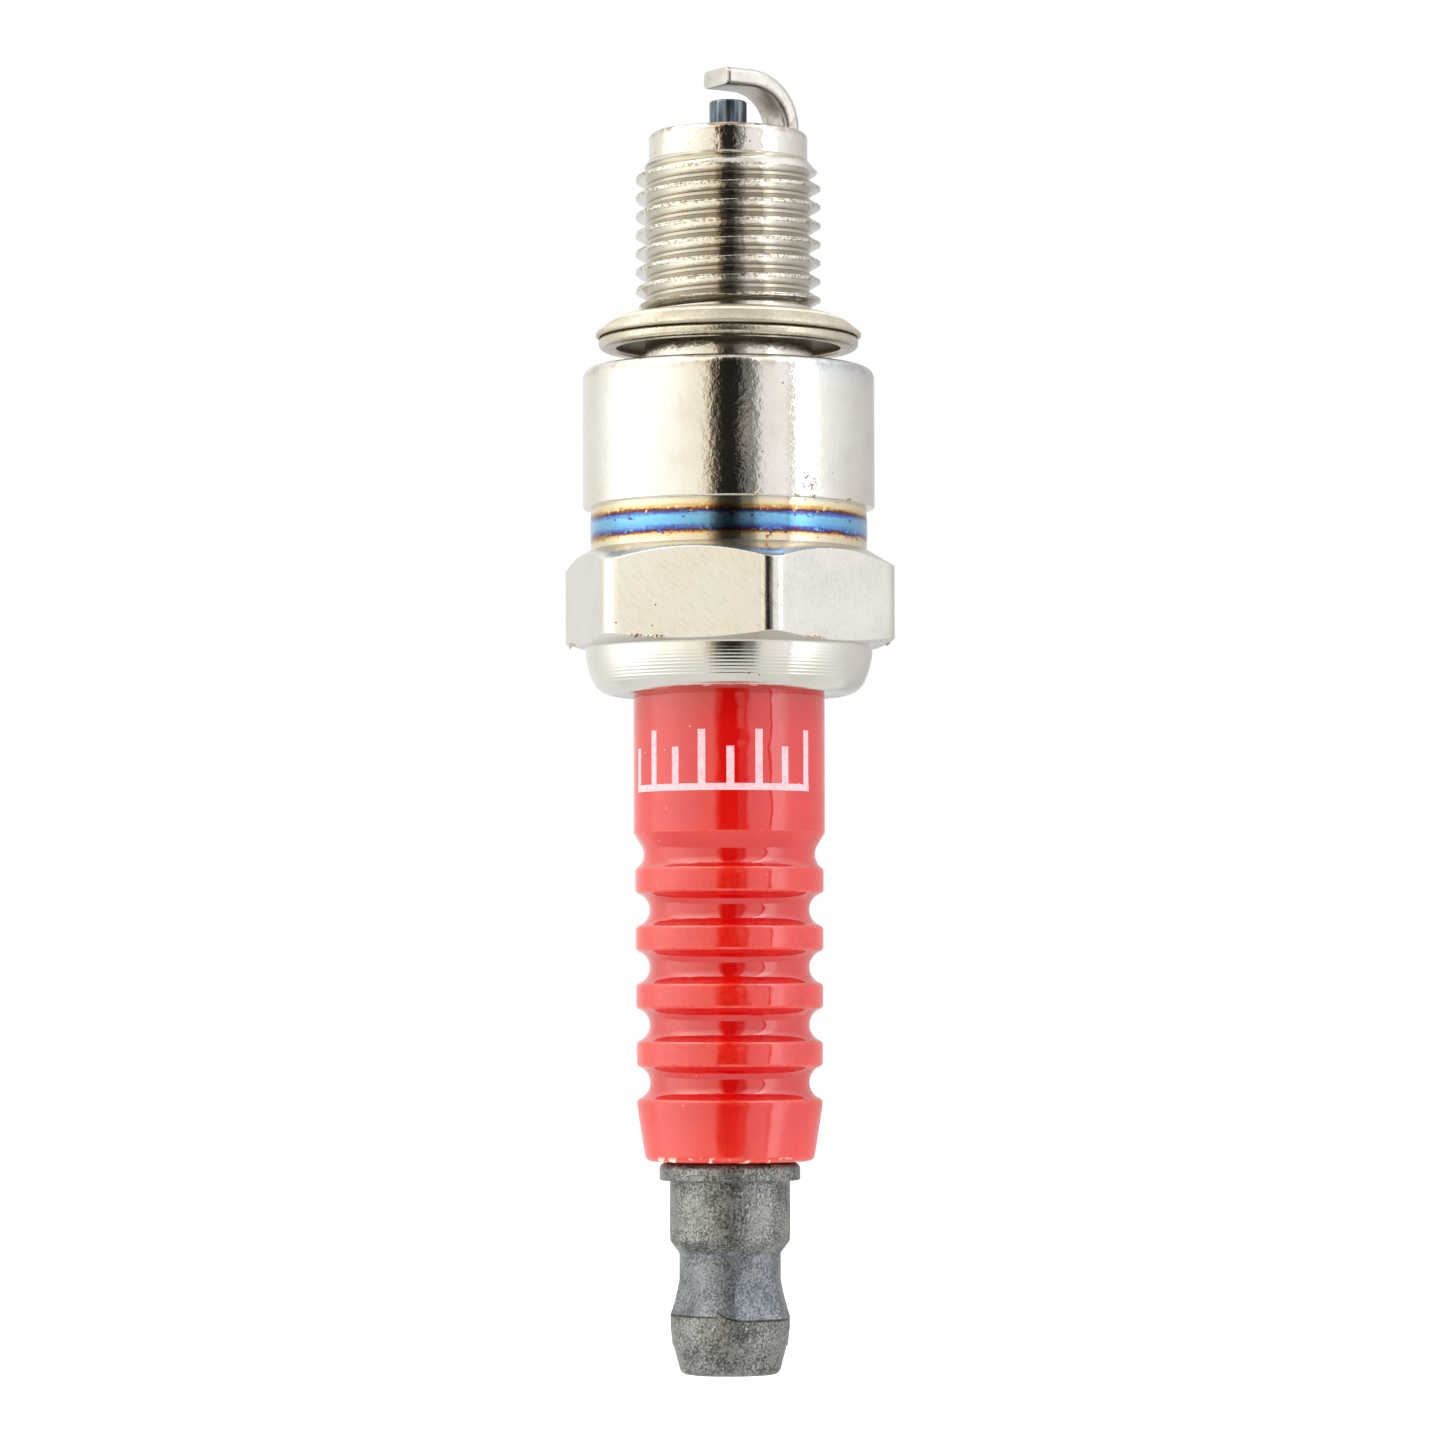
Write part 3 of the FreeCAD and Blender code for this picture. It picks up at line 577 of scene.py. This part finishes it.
def polished_alloy():
    """Rolled nickel alloy: a soft shine, a few dark nicks, a torn cut edge, a heat tint by the weld."""
    material, tree, shader, place = start("polished_alloy")
    tree.links.new(ramp(tree, noise(tree, place, 0.8, 4.0), [(0.35, "#B4B0AB"), (0.65, "#C2BFBA")]),
                   shader.inputs["Base Color"])
    nicks = noise(tree, place, 0.12, 2.0)
    stain(tree, shader, span(tree, nicks, 0.68, 0.73, 0.0, 0.7), "#6B5138")
    heat = maths(tree, "MULTIPLY", span(tree, axis(tree, place, "Z"), REACH + 2.2, REACH),
                 span(tree, noise(tree, place, 0.3), 0.5, 0.66, 0.0, 0.9))
    stain(tree, shader, heat, "#8A6A50")
    turned = math.radians(STRAP_ANGLE)
    along = put(tree, "ShaderNodeVectorMath", {0: place, 1: (math.cos(turned), math.sin(turned), 0.0)},
                operation="DOT_PRODUCT").outputs["Value"]
    torn = maths(tree, "MULTIPLY", span(tree, along, STRAP_END + 0.06, STRAP_END + 0.1),
                 span(tree, along, STRAP_END + 0.26, STRAP_END + 0.16))
    torn = maths(tree, "MULTIPLY", torn, span(tree, noise(tree, place, 0.4), 0.35, 0.5))
    stain(tree, shader, torn, "#5E5048")
    relief(tree, shader, nicks, 0.004)
    shader.inputs["Metallic"].default_value = 1.0
    shader.inputs["Roughness"].default_value = 0.33
    return material


strap.data.materials.append(polished_alloy())
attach(strap, "plug")
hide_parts("ground_electrode")

# ---------------------------------------------------------------------------------------------
# Gasket. A washer of thin dull-plated steel, folded into an S so that it crushes when the plug
# is tightened. It is held on the neck by the thread above it and can slide and turn there.

SHEET = 0.3
LAP = 0.32


def folded_strip(path, half, tip_steps=6):
    """The outline of a strip that follows a path, with rounded ends."""
    path = np.asarray(path)
    along = np.gradient(path, axis=0)
    along /= np.linalg.norm(along, axis=1)[:, None]
    side = np.stack([-along[:, 1], along[:, 0]], axis=1) * half
    outline = list(path + side)
    for share in np.linspace(0, math.pi, tip_steps + 1)[1:-1]:
        outline.append(path[-1] + side[-1] * math.cos(share) + along[-1] * half * math.sin(share))
    outline += list((path - side)[::-1])
    for share in np.linspace(0, math.pi, tip_steps + 1)[1:-1]:
        outline.append(path[0] - side[0] * math.cos(share) - along[0] * half * math.sin(share))
    return outline + [outline[0]]


gasket_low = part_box("gasket")[0]
strip_top = THREAD_LOW - 0.07 - SHEET / 2
strip_low = gasket_low.z / MM + SHEET / 2
path = rounded([
    (6.96, strip_low + LAP + 0.31, 0), (6.0, strip_top - 0.2, 1.5), (4.8, strip_top, 0.24),
    (4.8, strip_top - 2 * LAP + 0.1, 0.24), (6.8, strip_low + LAP, LAP / 2), (6.8, strip_low, LAP / 2),
    (6.15, strip_low, 0),
], 8)
full_turn = [2 * math.pi * k / 240 for k in range(241)]
washer = skin("folded_gasket", ring_grid(folded_strip(path, SHEET / 2), full_turn))


def dull_plating(name, pale, dark, roughness, grain_depth, metallic=1.0):
    """Dull zinc-nickel on strip: matt and grey-beige and glossier on the folds; between them a paler, nearly
    non-metallic copy is painted light in the folds' shade.
    """
    material, tree, shader, place = start(name)
    grain = noise(tree, place, 0.14)
    tree.links.new(ramp(tree, noise(tree, place, 1.5, 5.0), [(0.3, dark), (0.7, pale)]),
                   shader.inputs["Base Color"])
    stain(tree, shader, span(tree, grain, 0.55, 0.7, 0.0, 0.35), "#8B7C62")
    relief(tree, shader, grain, grain_depth)
    tree.links.new(span(tree, grain, 0.3, 0.7, roughness * 0.8, roughness * 1.2), shader.inputs["Roughness"])
    shader.inputs["Metallic"].default_value = metallic
    return material


washer.data.materials.append(dull_plating("dull_plating", "#D3CCBE", "#BCB3A2", 0.5, 0.018))
washer.data.materials.append(dull_plating("creased_plating", "#CDC6B8", "#B4AC9A", 0.24, 0.016))
# Painted light: a paler, nearly non-metallic copy of the plating for the faces between the folds, which lie
# in shade.
washer.data.materials.append(dull_plating("painted_light_plating", "#EDE6D8", "#DAD2C2", 0.6, 0.016, 0.05))
washer_finish = finish_numbers(washer)
for face in washer.data.polygons:
    middle = face.center / MM
    r = math.hypot(middle.x, middle.y)
    # The faces between the folds, in the sheet's shade, get the painted light copy.
    if r < 6.5 and strip_low + 0.16 < middle.z < strip_top - 0.17:
        face.material_index = washer_finish["painted_light_plating"]
    elif middle.z < strip_low + LAP + 0.14 or r < 5.2:
        face.material_index = washer_finish["creased_plating"]
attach(washer, "gasket")
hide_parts("gasket")

# ---------------------------------------------------------------------------------------------
# Insulator. Pressed and ground alumina, fired once, then glazed red from the collar down to the
# last skirt. The ribs lengthen the path that a spark would take down the outside.

HEAD_R = 5.1
HEAD_END = -24.82
RIB_GROOVE_R = 4.25
RIB_HOLLOW = 0.9
RIB_ROUND = 0.25
RIB_PITCH = 3.06
FIRST_GROOVE = -28.9
RIB_COUNT = 4
PIN_BORE_R, STUD_BORE_R = 1.05, 1.75
BORE_STEP = 0.5
SEAT_R, SHOULDER_R, CRIMPED_R = 3.4, 5.9, 5.07
FIRST_HOLLOW = -25.96
SKIRT_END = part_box("insulator")[0].z / MM
TIP_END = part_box("insulator")[1].z / MM


def rib_r(k):
    """Radius of rib k, counted from the head."""
    return HEAD_R - 0.08 - 0.02 * k


def rib_shoulder(centre_r, centre_z, crest_r, up, steps=5):
    """The rounding from a rib's crest into a round hollow, above (up 1) or below (up -1) its middle."""
    out = crest_r - RIB_ROUND
    rise = math.sqrt((RIB_HOLLOW + RIB_ROUND) ** 2 - (centre_r - out) ** 2)
    inner = math.atan2(rise, out - centre_r)
    points = []
    for share in np.linspace(0, 1, steps + 1):
        a = share * (inner - math.pi)
        height = centre_z + up * (rise + RIB_ROUND * math.sin(a))
        points.append(np.array((out + RIB_ROUND * math.cos(a), height)))
    return points


def hollow(centre_r, centre_z, start_point, end_point, steps=10):
    """The round bottom of a groove between two points on it."""
    middle = (centre_r - RIB_HOLLOW, centre_z)
    return arc(start_point, middle, end_point, steps)[1:-1]


outline = [(PIN_BORE_R, TIP_END)]
outline += rounded([(PIN_BORE_R, TIP_END, 0), (1.9, TIP_END, 0.35), (2.45, 4.309, 0)])[1:]
outline += [(SEAT_R, 3.761), (SEAT_R, -2.45), (SHOULDER_R, -4.95), (SHOULDER_R, -12.4),
            (CRIMPED_R, -13.23), (CRIMPED_R, -16.85)]
outline += rounded([(5.1, COLLAR_END, 0), (HEAD_R, HEAD_END, 0.2), (4.728, -25.444, 0)])
thin = [0.0] * len(outline)
for row in range(7):
    thin[-2 - row] = 0.9 * math.exp(-((row - 2) / 2.0) ** 2)
hollow_r = 4.565 + RIB_HOLLOW
lower = rib_shoulder(hollow_r, FIRST_HOLLOW, rib_r(0), -1)[::-1]
outline += arc((4.728, -25.444), (4.565, FIRST_HOLLOW), lower[0])[1:-1]
thin += [0.0] * (len(outline) - len(thin))
outline += lower
thin += [0.1, 0.4, 0.8, 1.0, 0.8, 0.4]
for k in range(RIB_COUNT):
    z = FIRST_GROOVE - RIB_PITCH * k
    centre_r = RIB_GROOVE_R + RIB_HOLLOW
    upper = rib_shoulder(centre_r, z, rib_r(k), 1)
    lower = rib_shoulder(centre_r, z, rib_r(k + 1), -1)[::-1]
    outline += upper
    thin += [0.4, 0.8, 1.0, 0.8, 0.4, 0.1]
    dip = hollow(centre_r, z, upper[-1], lower[0])
    outline += dip
    thin += [0.0] * len(dip)
    outline += lower
    thin += [0.1, 0.4, 0.8, 1.0, 0.8, 0.4]
skirt_land = FIRST_GROOVE - RIB_PITCH * (RIB_COUNT - 1) - 1.24
skirt = rounded([(rib_r(RIB_COUNT), skirt_land, 0), (4.48, SKIRT_END, 0.4), (1.9, SKIRT_END, 0.0)], 8)
outline += skirt
thin += [0.0, 0.1, 0.5, 0.9, 1.0, 0.9, 0.6, 0.3, 0.1, 0.0, 0.0]
inside = [(STUD_BORE_R, SKIRT_END + 0.15), (STUD_BORE_R, BORE_STEP), (PIN_BORE_R, BORE_STEP),
          (PIN_BORE_R, TIP_END)]
outline += inside
thin += [0.0] * len(inside)
fine_turn = [2 * math.pi * k / 288 for k in range(289)]
thin_grid = np.repeat(np.array(thin)[:, None], len(fine_turn), axis=1)
insulator = skin("insulator_body", ring_grid([tuple(p) for p in outline], fine_turn), thin_grid,
                 "thin_glaze", 40)


def red_glaze():
    """Glossy red glaze over white alumina: more orange on the edges, with pits, cracks and chips."""
    material, tree, shader, place = start("red_glaze")
    height = axis(tree, place, "Z")
    flow = noise(tree, place, 1.6, 2.0)
    fine = noise(tree, place, 0.3)
    tree.links.new(ramp(tree, flow, [(0.3, "#BC0509"), (0.7, "#C60F0B")]), shader.inputs["Base Color"])
    thin_edge = put(tree, "ShaderNodeAttribute", attribute_name="thin_glaze").outputs["Fac"]
    stain(tree, shader, maths(tree, "MULTIPLY", thin_edge, span(tree, fine, 0.3, 0.7, 0.1, 0.6)), "#E04A2E")
    stain(tree, shader, span(tree, height, -38.9, -41.5, 0.0, 0.4), "#DC2C18")
    lines = noise(tree, stretched(tree, place, (1.6, 1.6, 9.0)), 1.0, 2.0)
    crack = maths(tree, "MULTIPLY", span(tree, maths(tree, "ABSOLUTE", maths(tree, "SUBTRACT", lines, 0.5)),
                                         0.0, 0.008, 0.5, 0.0), span(tree, height, -39.2, -39.8))
    stain(tree, shader, crack, "#A60A0C")
    chip = maths(tree, "MULTIPLY", span(tree, noise(tree, place, 0.55, 2.0), 0.61, 0.65),
                 span(tree, height, SKIRT_END + 0.32, SKIRT_END + 0.12))
    stain(tree, shader, chip, "#F7D9C2")
    pit = dots(tree, place, 1.3, 0.035)
    stain(tree, shader, pit, "#F29A80")
    relief(tree, shader, flow, 0.045)
    relief(tree, shader, maths(tree, "SUBTRACT", 0.0, maths(tree, "ADD", pit, chip)), 0.01)
    worn = maths(tree, "MULTIPLY", thin_edge, 0.12)
    tree.links.new(maths(tree, "ADD", span(tree, height, -38.4, -39.0, 0.03, 0.12), worn),
                   shader.inputs["Roughness"])
    shader.inputs["IOR"].default_value = 1.6
    shader.inputs["Specular IOR Level"].default_value = 0.72
    return material


def bare_alumina():
    """Unglazed fired alumina: white, matt and very fine grained."""
    material, tree, shader, place = start("bare_alumina")
    grain = noise(tree, place, 0.15)
    tree.links.new(ramp(tree, grain, [(0.3, "#E6E2DA"), (0.7, "#F1EFEA")]), shader.inputs["Base Color"])
    relief(tree, shader, grain, 0.004)
    shader.inputs["Roughness"].default_value = 0.45
    shader.inputs["IOR"].default_value = 1.76
    return material


insulator.data.materials.append(bare_alumina())
insulator.data.materials.append(red_glaze())
glaze_number = finish_numbers(insulator)["red_glaze"]
for face in insulator.data.polygons:
    middle = face.center / MM
    if middle.z < COLLAR_END + 0.7 and math.hypot(middle.x, middle.y) > 3.0:
        face.material_index = glaze_number
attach(insulator, "plug")
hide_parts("insulator")

# ---------------------------------------------------------------------------------------------
# Printed scale. Pale ceramic ink, screened on the head before the glaze firing. It is a plain
# row of upright ticks over a line, and the ink stands a hundredth of a millimetre proud.

INK = 0.012
TICK_LOW, TICK_HIGH = -22.35, -19.5
INK_LINE = 0.36


def ink_patch(angle, width, low, high):
    """A thin closed patch of ink on the head, round its middle direction in degrees."""
    half = math.degrees(width / 2 / HEAD_R)
    across = np.radians(np.linspace(angle - half, angle + half, max(int(width / 0.12), 4)))
    edge = [(HEAD_R - 0.02, low), (HEAD_R + INK, low), (HEAD_R + INK, high), (HEAD_R - 0.02, high),
            (HEAD_R - 0.02, low)]
    sides = [turn(edge, a) for a in across]
    caps = [np.tile(side.mean(axis=0), (len(edge), 1)) for side in (sides[0], sides[-1])]
    return np.stack([caps[0]] + sides + [caps[1]], axis=1)


def ceramic_ink():
    """Fired pinkish-white ink: half matt, and slightly uneven where the red shows through."""
    material, tree, shader, place = start("ceramic_ink")
    tree.links.new(ramp(tree, noise(tree, place, 0.2), [(0.3, "#E3A4B2"), (0.6, "#EDC2CC")]),
                   shader.inputs["Base Color"])
    shader.inputs["Roughness"].default_value = 0.35
    return material


ink = ceramic_ink()
patches = [("scale_line", -98.0, 11.2, TICK_LOW - INK_LINE, TICK_LOW)]
for k in range(8):
    tall = TICK_HIGH if k % 2 else TICK_HIGH - 0.9
    patches.append((f"scale_tick_{k}", -98.0 + (k - 3.5) * 17.2, INK_LINE + 0.05, TICK_LOW - 0.05, tall))
for name, angle, width, low, high in patches:
    patch = skin(name, ink_patch(angle, width, low, high))
    patch.data.materials.append(ink)
    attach(patch, "plug")

# ---------------------------------------------------------------------------------------------
# Centre electrode. A nickel alloy pin with a headed end, drilled for its copper core and fixed
# by the glass below it. Firing the glass leaves the pin blue-grey.

PIN_R = 1.0
PIN_HEAD_R = 1.5
PIN_HEAD_TOP = 0.48
CORE_R = 0.56
CORE_DEPTH = 2.68
pin_low, pin_high = (corner.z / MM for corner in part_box("center_electrode"))
pin_outline = rounded([
    (0, pin_high, 0), (PIN_R, pin_high, 0.14), (PIN_R, PIN_HEAD_TOP, 0), (PIN_HEAD_R, PIN_HEAD_TOP, 0.1),
    (PIN_HEAD_R, pin_low, 0.1), (CORE_R, pin_low, 0), (CORE_R, pin_high - CORE_DEPTH, 0),
    (0, pin_high - CORE_DEPTH, 0),
])
pin = skin("centre_electrode_pin", ring_grid(pin_outline, [2 * math.pi * k / 96 for k in range(97)]))


def fired_alloy():
    """Nickel alloy with a furnace oxide: slate blue, half gloss, streaked along its length."""
    material, tree, shader, place = start("fired_alloy")
    streak = noise(tree, stretched(tree, place, (0.22, 0.22, 2.0)), 1.0)
    tree.links.new(ramp(tree, streak, [(0.35, "#363C46"), (0.5, "#56606C"), (0.68, "#86929A")]),
                   shader.inputs["Base Color"])
    relief(tree, shader, streak, 0.008)
    shader.inputs["Metallic"].default_value = 0.85
    shader.inputs["Roughness"].default_value = 0.36
    return material


pin.data.materials.append(fired_alloy())
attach(pin, "plug")
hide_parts("center_electrode")

# ---------------------------------------------------------------------------------------------
# Terminal nut. Turned from steel bar, phosphated grey, and screwed on the stud. Four jaws
# pinched its neck on the thread so that it doesn't work loose.

NUT_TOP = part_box("terminal_nut")[1].z / MM
NUT_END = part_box("terminal_nut")[0].z / MM
CRIMP_ANGLE = -58.0
CRIMP_TOP, CRIMP_LOW = -47.0, -50.5
CRIMP_FLAT = 2.5
CRIMP_R = 4.0
NUT_R, FLANGE_R = 3.2, 3.75
NUT_NECK_R, BULB_R = 2.695, 3.17
NUT_BORE_R = 2.05
FLANGE_LOW = -43.25
nut_outside = rounded([
    (0, NUT_END, 0), (2.6, NUT_END, 0.4), (3.0, -52.0, 0.05), (3.06, -51.96, 0.05),
    (BULB_R, -51.0, 0.3), (BULB_R, -50.4, 0),
], 5)
nut_outside += arc((BULB_R, -50.4), (2.895, -49.45), (NUT_NECK_R, -48.5), 16)[1:]
nut_outside += rounded([
    (NUT_NECK_R, -48.4, 0), (NUT_NECK_R, -47.1, 0.2), (3.18, -46.45, 0.35), (NUT_R, -45.8, 0),
])
nut_outside += rounded([
    (NUT_R, -43.4, 0), (NUT_R, FLANGE_LOW, 0.08), (FLANGE_R, FLANGE_LOW, 0.12), (FLANGE_R, NUT_TOP, 0.36),
    (2.6, NUT_TOP, 0),
], 4)
nut_outside = [tuple(p) for p in nut_outside]
nut_inside = [(2.2, NUT_TOP), (NUT_BORE_R, NUT_TOP - 0.15), (NUT_BORE_R, NUT_TOP - 8.55), (0, NUT_TOP - 9.73)]


def jaw_at(angle):
    """The angle from the nearest jaw's middle, and how far its ledge sits above CRIMP_LOW there."""
    jaw, off = divmod(math.degrees(angle) - CRIMP_ANGLE + 45, 90)
    off = math.radians(off - 45)
    lift = (-0.13, -0.02, 0.06, 0.1)[int(jaw) % 4]
    if int(jaw) % 2 == 0:
        lift += 0.5 * (max(0.0, -off) / 0.78) ** 4
    return off, lift


def crimped(outline, angle):
    """The nut's outside in one direction, with the jaws' pinches taken out of it."""
    off, lift = jaw_at(angle)
    middle = (CRIMP_TOP + CRIMP_LOW) / 2
    points = []
    for r, z in outline:
        if CRIMP_LOW < z < CRIMP_TOP:
            depth = CRIMP_FLAT + CRIMP_R - math.sqrt(CRIMP_R ** 2 - (z - middle) ** 2)
            r = min(r, depth / math.cos(off))
        points.append((r, z + lift * max(0.0, 1 - abs(z - CRIMP_LOW) / 0.7)))
    return points


outside = [tuple(p) for p in dense(nut_outside, 0.08)]
split = next(k for k, p in enumerate(outside) if p[1] > CRIMP_LOW)
ledge_r = np.interp(CRIMP_LOW, [outside[split - 1][1], outside[split][1]],
                    [outside[split - 1][0], outside[split][0]])
outside[split:split] = [(ledge_r, CRIMP_LOW - 1e-6), (ledge_r, CRIMP_LOW + 1e-3)]
nut_columns = [turn(crimped(outside, a) + nut_inside, a) for a in np.linspace(0, 2 * math.pi, 361)]
nut = skin("terminal_nut_body", np.stack(nut_columns, axis=1), sharp=28)


def phosphate(name, low, middle, high, dirt, worn):
    """Zinc phosphate on steel: dull grey crystals, olive-brown dirt, and a few bright scratches."""
    material, tree, shader, place = start(name)
    crystal = noise(tree, place, 0.12, 4.0)
    cloud = noise(tree, place, 1.1, 5.0)
    both = maths(tree, "ADD", maths(tree, "MULTIPLY", crystal, 0.75), maths(tree, "MULTIPLY", cloud, 0.45))
    tree.links.new(ramp(tree, both, [(0.5, low), (0.6, middle), (0.72, high)]), shader.inputs["Base Color"])
    soil = noise(tree, place, 1.1, 8.0, Roughness=0.75)
    stain(tree, shader, span(tree, soil, 0.48, 0.62, 0.0, dirt), "#625A4B")
    scratch = noise(tree, stretched(tree, place, (0.12, 0.12, 0.7), (0.0, 0.5, 0.0)), 1.0, 2.0)
    stain(tree, shader, span(tree, scratch, 0.73 - worn, 0.78 - worn, 0.0, 0.8), "#CFC9B8")
    relief(tree, shader, crystal, 0.03)
    shader.inputs["Metallic"].default_value = 0.75
    shader.inputs["Roughness"].default_value = 0.36
    return material


nut.data.materials.append(phosphate("phosphate", "#4B4C4A", "#767876", "#9C9FA2", 0.4, 0.05))
nut.data.materials.append(phosphate("pinched_phosphate", "#50555A", "#70767C", "#8A9096", 0.15, 0.0))
# Painted shade: a near-black copy of the phosphate for the step at the foot of each jaw's pinch.
nut.data.materials.append(phosphate("ledge_shade_phosphate", "#2A2927", "#383734", "#484744", 0.3, 0.0))
nut_finish = finish_numbers(nut)
for face in nut.data.polygons:
    middle = face.center / MM
    ledge = CRIMP_LOW + jaw_at(math.atan2(middle.y, middle.x))[1]
    # The narrow band on each jaw's ledge gets the painted shade copy.
    if ledge - 0.01 < middle.z < ledge + 0.11:
        face.material_index = nut_finish["ledge_shade_phosphate"]
    elif ledge < middle.z < CRIMP_TOP:
        face.material_index = nut_finish["pinched_phosphate"]
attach(nut, "terminal")
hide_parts("terminal_nut")

# ---------------------------------------------------------------------------------------------
# Inner pieces. The stud, the packing, the seat washer, the glass and the copper core keep their
# own shapes. Each gets the finish that it has when the plug is taken apart.


def inner(name, base, dark, size, height, roughness, metallic, ior=1.5):
    """A plain finish with one grain of a real size, for a piece that is out of sight."""
    material, tree, shader, place = start(name)
    grain = noise(tree, place, size, 4.0)
    tree.links.new(ramp(tree, grain, [(0.3, dark), (0.65, base)]), shader.inputs["Base Color"])
    relief(tree, shader, grain, height)
    shader.inputs["Metallic"].default_value = metallic
    shader.inputs["Roughness"].default_value = roughness
    shader.inputs["IOR"].default_value = ior
    return material


soft_steel = inner("soft_steel", "#A9A7A2", "#7E7C78", 0.3, 0.004, 0.38, 1.0)
finishes = {
    "terminal_stud": inner("zinc_plate", "#C9CCCE", "#A4A9AD", 0.4, 0.003, 0.25, 1.0),
    "seat_washer": soft_steel,
    "lower_packing_ring": soft_steel,
    "upper_packing_ring": soft_steel,
    "talc_ring": inner("pressed_talc", "#E6E2D6", "#CFC9B8", 0.12, 0.02, 0.9, 0.0),
    "glass_seal": inner("seal_glass", "#3F4A4C", "#23292B", 0.25, 0.01, 0.3, 0.1, 1.52),
    "copper_core": inner("bare_copper", "#DB9A78", "#B8704E", 0.5, 0.003, 0.28, 1.0),
}
for name, finish in finishes.items():
    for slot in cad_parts[name].material_slots:
        slot.material = finish

# ---------------------------------------------------------------------------------------------
# Room. A white studio that is dark only where the camera stands, with a tall bright panel on each
# side. The floor is plain and pale, below the nut's travel.

FLOOR_Z = -66.0
room = bpy.data.worlds.new("studio")
bpy.context.scene.world = room
room.use_nodes = True
tree = room.node_tree
way = put(tree, "ShaderNodeTexCoord").outputs["Generated"]
east, north, rise = (axis(tree, way, letter) for letter in "XYZ")
round_angle = maths(tree, "ARCTAN2", east, maths(tree, "MULTIPLY", north, -1.0))
share = span(tree, round_angle, -math.pi, math.pi)
FULL = 3.0
WHITE_WALL = 1.02
panels = [
    (-180, 0.85, "cool"), (-160, 1.02, "cool"), (-131, 1.12, "warm"), (-112, 1.4, "warm"),
    (-98, 2.0, "warm"), (-78, 2.1, "warm"), (-60, 1.8, "warm"), (-42, 1.5, "warm"), (-33, 1.34, "sand"),
    (-21, 1.24, "sand"), (-17.5, 1.0, "amber"), (-15, 0.5, "amber"), (-11, 0.12, "amber"),
    (-8, 0.02, "amber"), (10, 0.02, "warm"), (12.5, 0.26, "warm"), (20, 0.22, "warm"),
    (25, 1.1, "rose"), (49.5, 1.34, "rose"), (50.4, 0.35, "rose"), (52, 0.35, "rose"),
    (53.2, 2.5, "cool"), (66, 2.4, "cool"), (72, 1.8, "cool"), (80, 1.4, "cool"), (96, 1.16, "cool"),
    (117, 0.94, "rose"), (142, 0.76, "rose"), (161, 0.68, "cool"), (180, 0.8, "cool"),
]
tints = {"warm": (1.01, 1.0, 0.93), "sand": (1.05, 1.0, 0.86), "amber": (1.2, 1.0, 0.75),
         "rose": (1.03, 1.0, 0.98), "cool": (1.0, 1.0, 1.0)}
profile = put(tree, "ShaderNodeValToRGB", {"Fac": share})
marks = profile.color_ramp.elements
for k, (angle, level, tint) in enumerate(panels):
    position = (angle + 180) / 360
    mark = marks[0] if k == 0 else marks[-1] if k == len(panels) - 1 else marks.new(position)
    mark.position = position
    mark.color = [level / FULL * c for c in tints[tint]] + [1.0]
strength = span(tree, rise, 0.45, 0.75, FULL, 1.7 * FULL)
lit = put(tree, "ShaderNodeVectorMath", {0: profile.outputs["Color"], "Scale": strength},
          operation="SCALE")
low_wall = span(tree, rise, -0.42, -0.5)
high_wall = span(tree, rise, 0.92, 0.96)
around = put(tree, "ShaderNodeMix", {"Factor": maths(tree, "MAXIMUM", low_wall, high_wall),
                                     6: lit.outputs[0], 7: (WHITE_WALL, WHITE_WALL, 0.97, 1.0)},
             data_type="RGBA")
# A grey stand beside the camera, from 7 to 20 degrees round and a little above its height
stand = maths(tree, "MULTIPLY", span(tree, share, 0.5 + 7 / 360, 0.5 + 10 / 360),
              span(tree, share, 0.5 + 20 / 360, 0.5 + 17 / 360))
stand = maths(tree, "MULTIPLY", stand, maths(tree, "MULTIPLY", span(tree, rise, 0.066, 0.08),
                                             span(tree, rise, 0.13, 0.115)))
around = put(tree, "ShaderNodeMix", {"Factor": stand, 6: around.outputs[2], 7: (0.66, 0.57, 0.48, 1.0)},
             data_type="RGBA")
seen = put(tree, "ShaderNodeLightPath").outputs["Is Camera Ray"]
shown = put(tree, "ShaderNodeMix", {"Factor": seen, 6: around.outputs[2], 7: (1.0, 1.0, 1.0, 1.0)},
            data_type="RGBA")
tree.links.new(shown.outputs[2], tree.nodes["Background"].inputs["Color"])

floor_mesh = bpy.data.meshes.new("floor")
FLOOR_HALF = 3000.0
corners = [Vector((x * FLOOR_HALF, y * FLOOR_HALF, FLOOR_Z)) * MM
           for x, y in ((-1, -1), (1, -1), (1, 1), (-1, 1))]
floor_mesh.from_pydata(corners, [], [(0, 1, 2, 3)])
floor = bpy.data.objects.new("floor", floor_mesh)
bpy.context.collection.objects.link(floor)
floor.visible_glossy = False
paper, tree, shader, place = start("white_paper")
tree.links.new(ramp(tree, noise(tree, place, 0.8), [(0.3, "#FAFAF9"), (0.7, "#FEFEFE")]),
               shader.inputs["Base Color"])
shader.inputs["Roughness"].default_value = 0.9
floor.data.materials.append(paper)

# Camera. A long lens a little under a third of a metre away, low and tilted up by three degrees.
lens = bpy.data.cameras.new("camera")
lens.sensor_width = 36.0
lens.lens = 132.8
lens.clip_start = 0.01
lens.dof.use_dof = False
camera = bpy.data.objects.new("camera", lens)
camera.location = Vector((-0.38, -284.0, -33.8)) * MM
camera.rotation_euler = (math.radians(93.0), math.radians(0.1), 0.0)
bpy.context.collection.objects.link(camera)
bpy.context.scene.camera = camera
bpy.context.scene.view_settings.view_transform = "Standard"
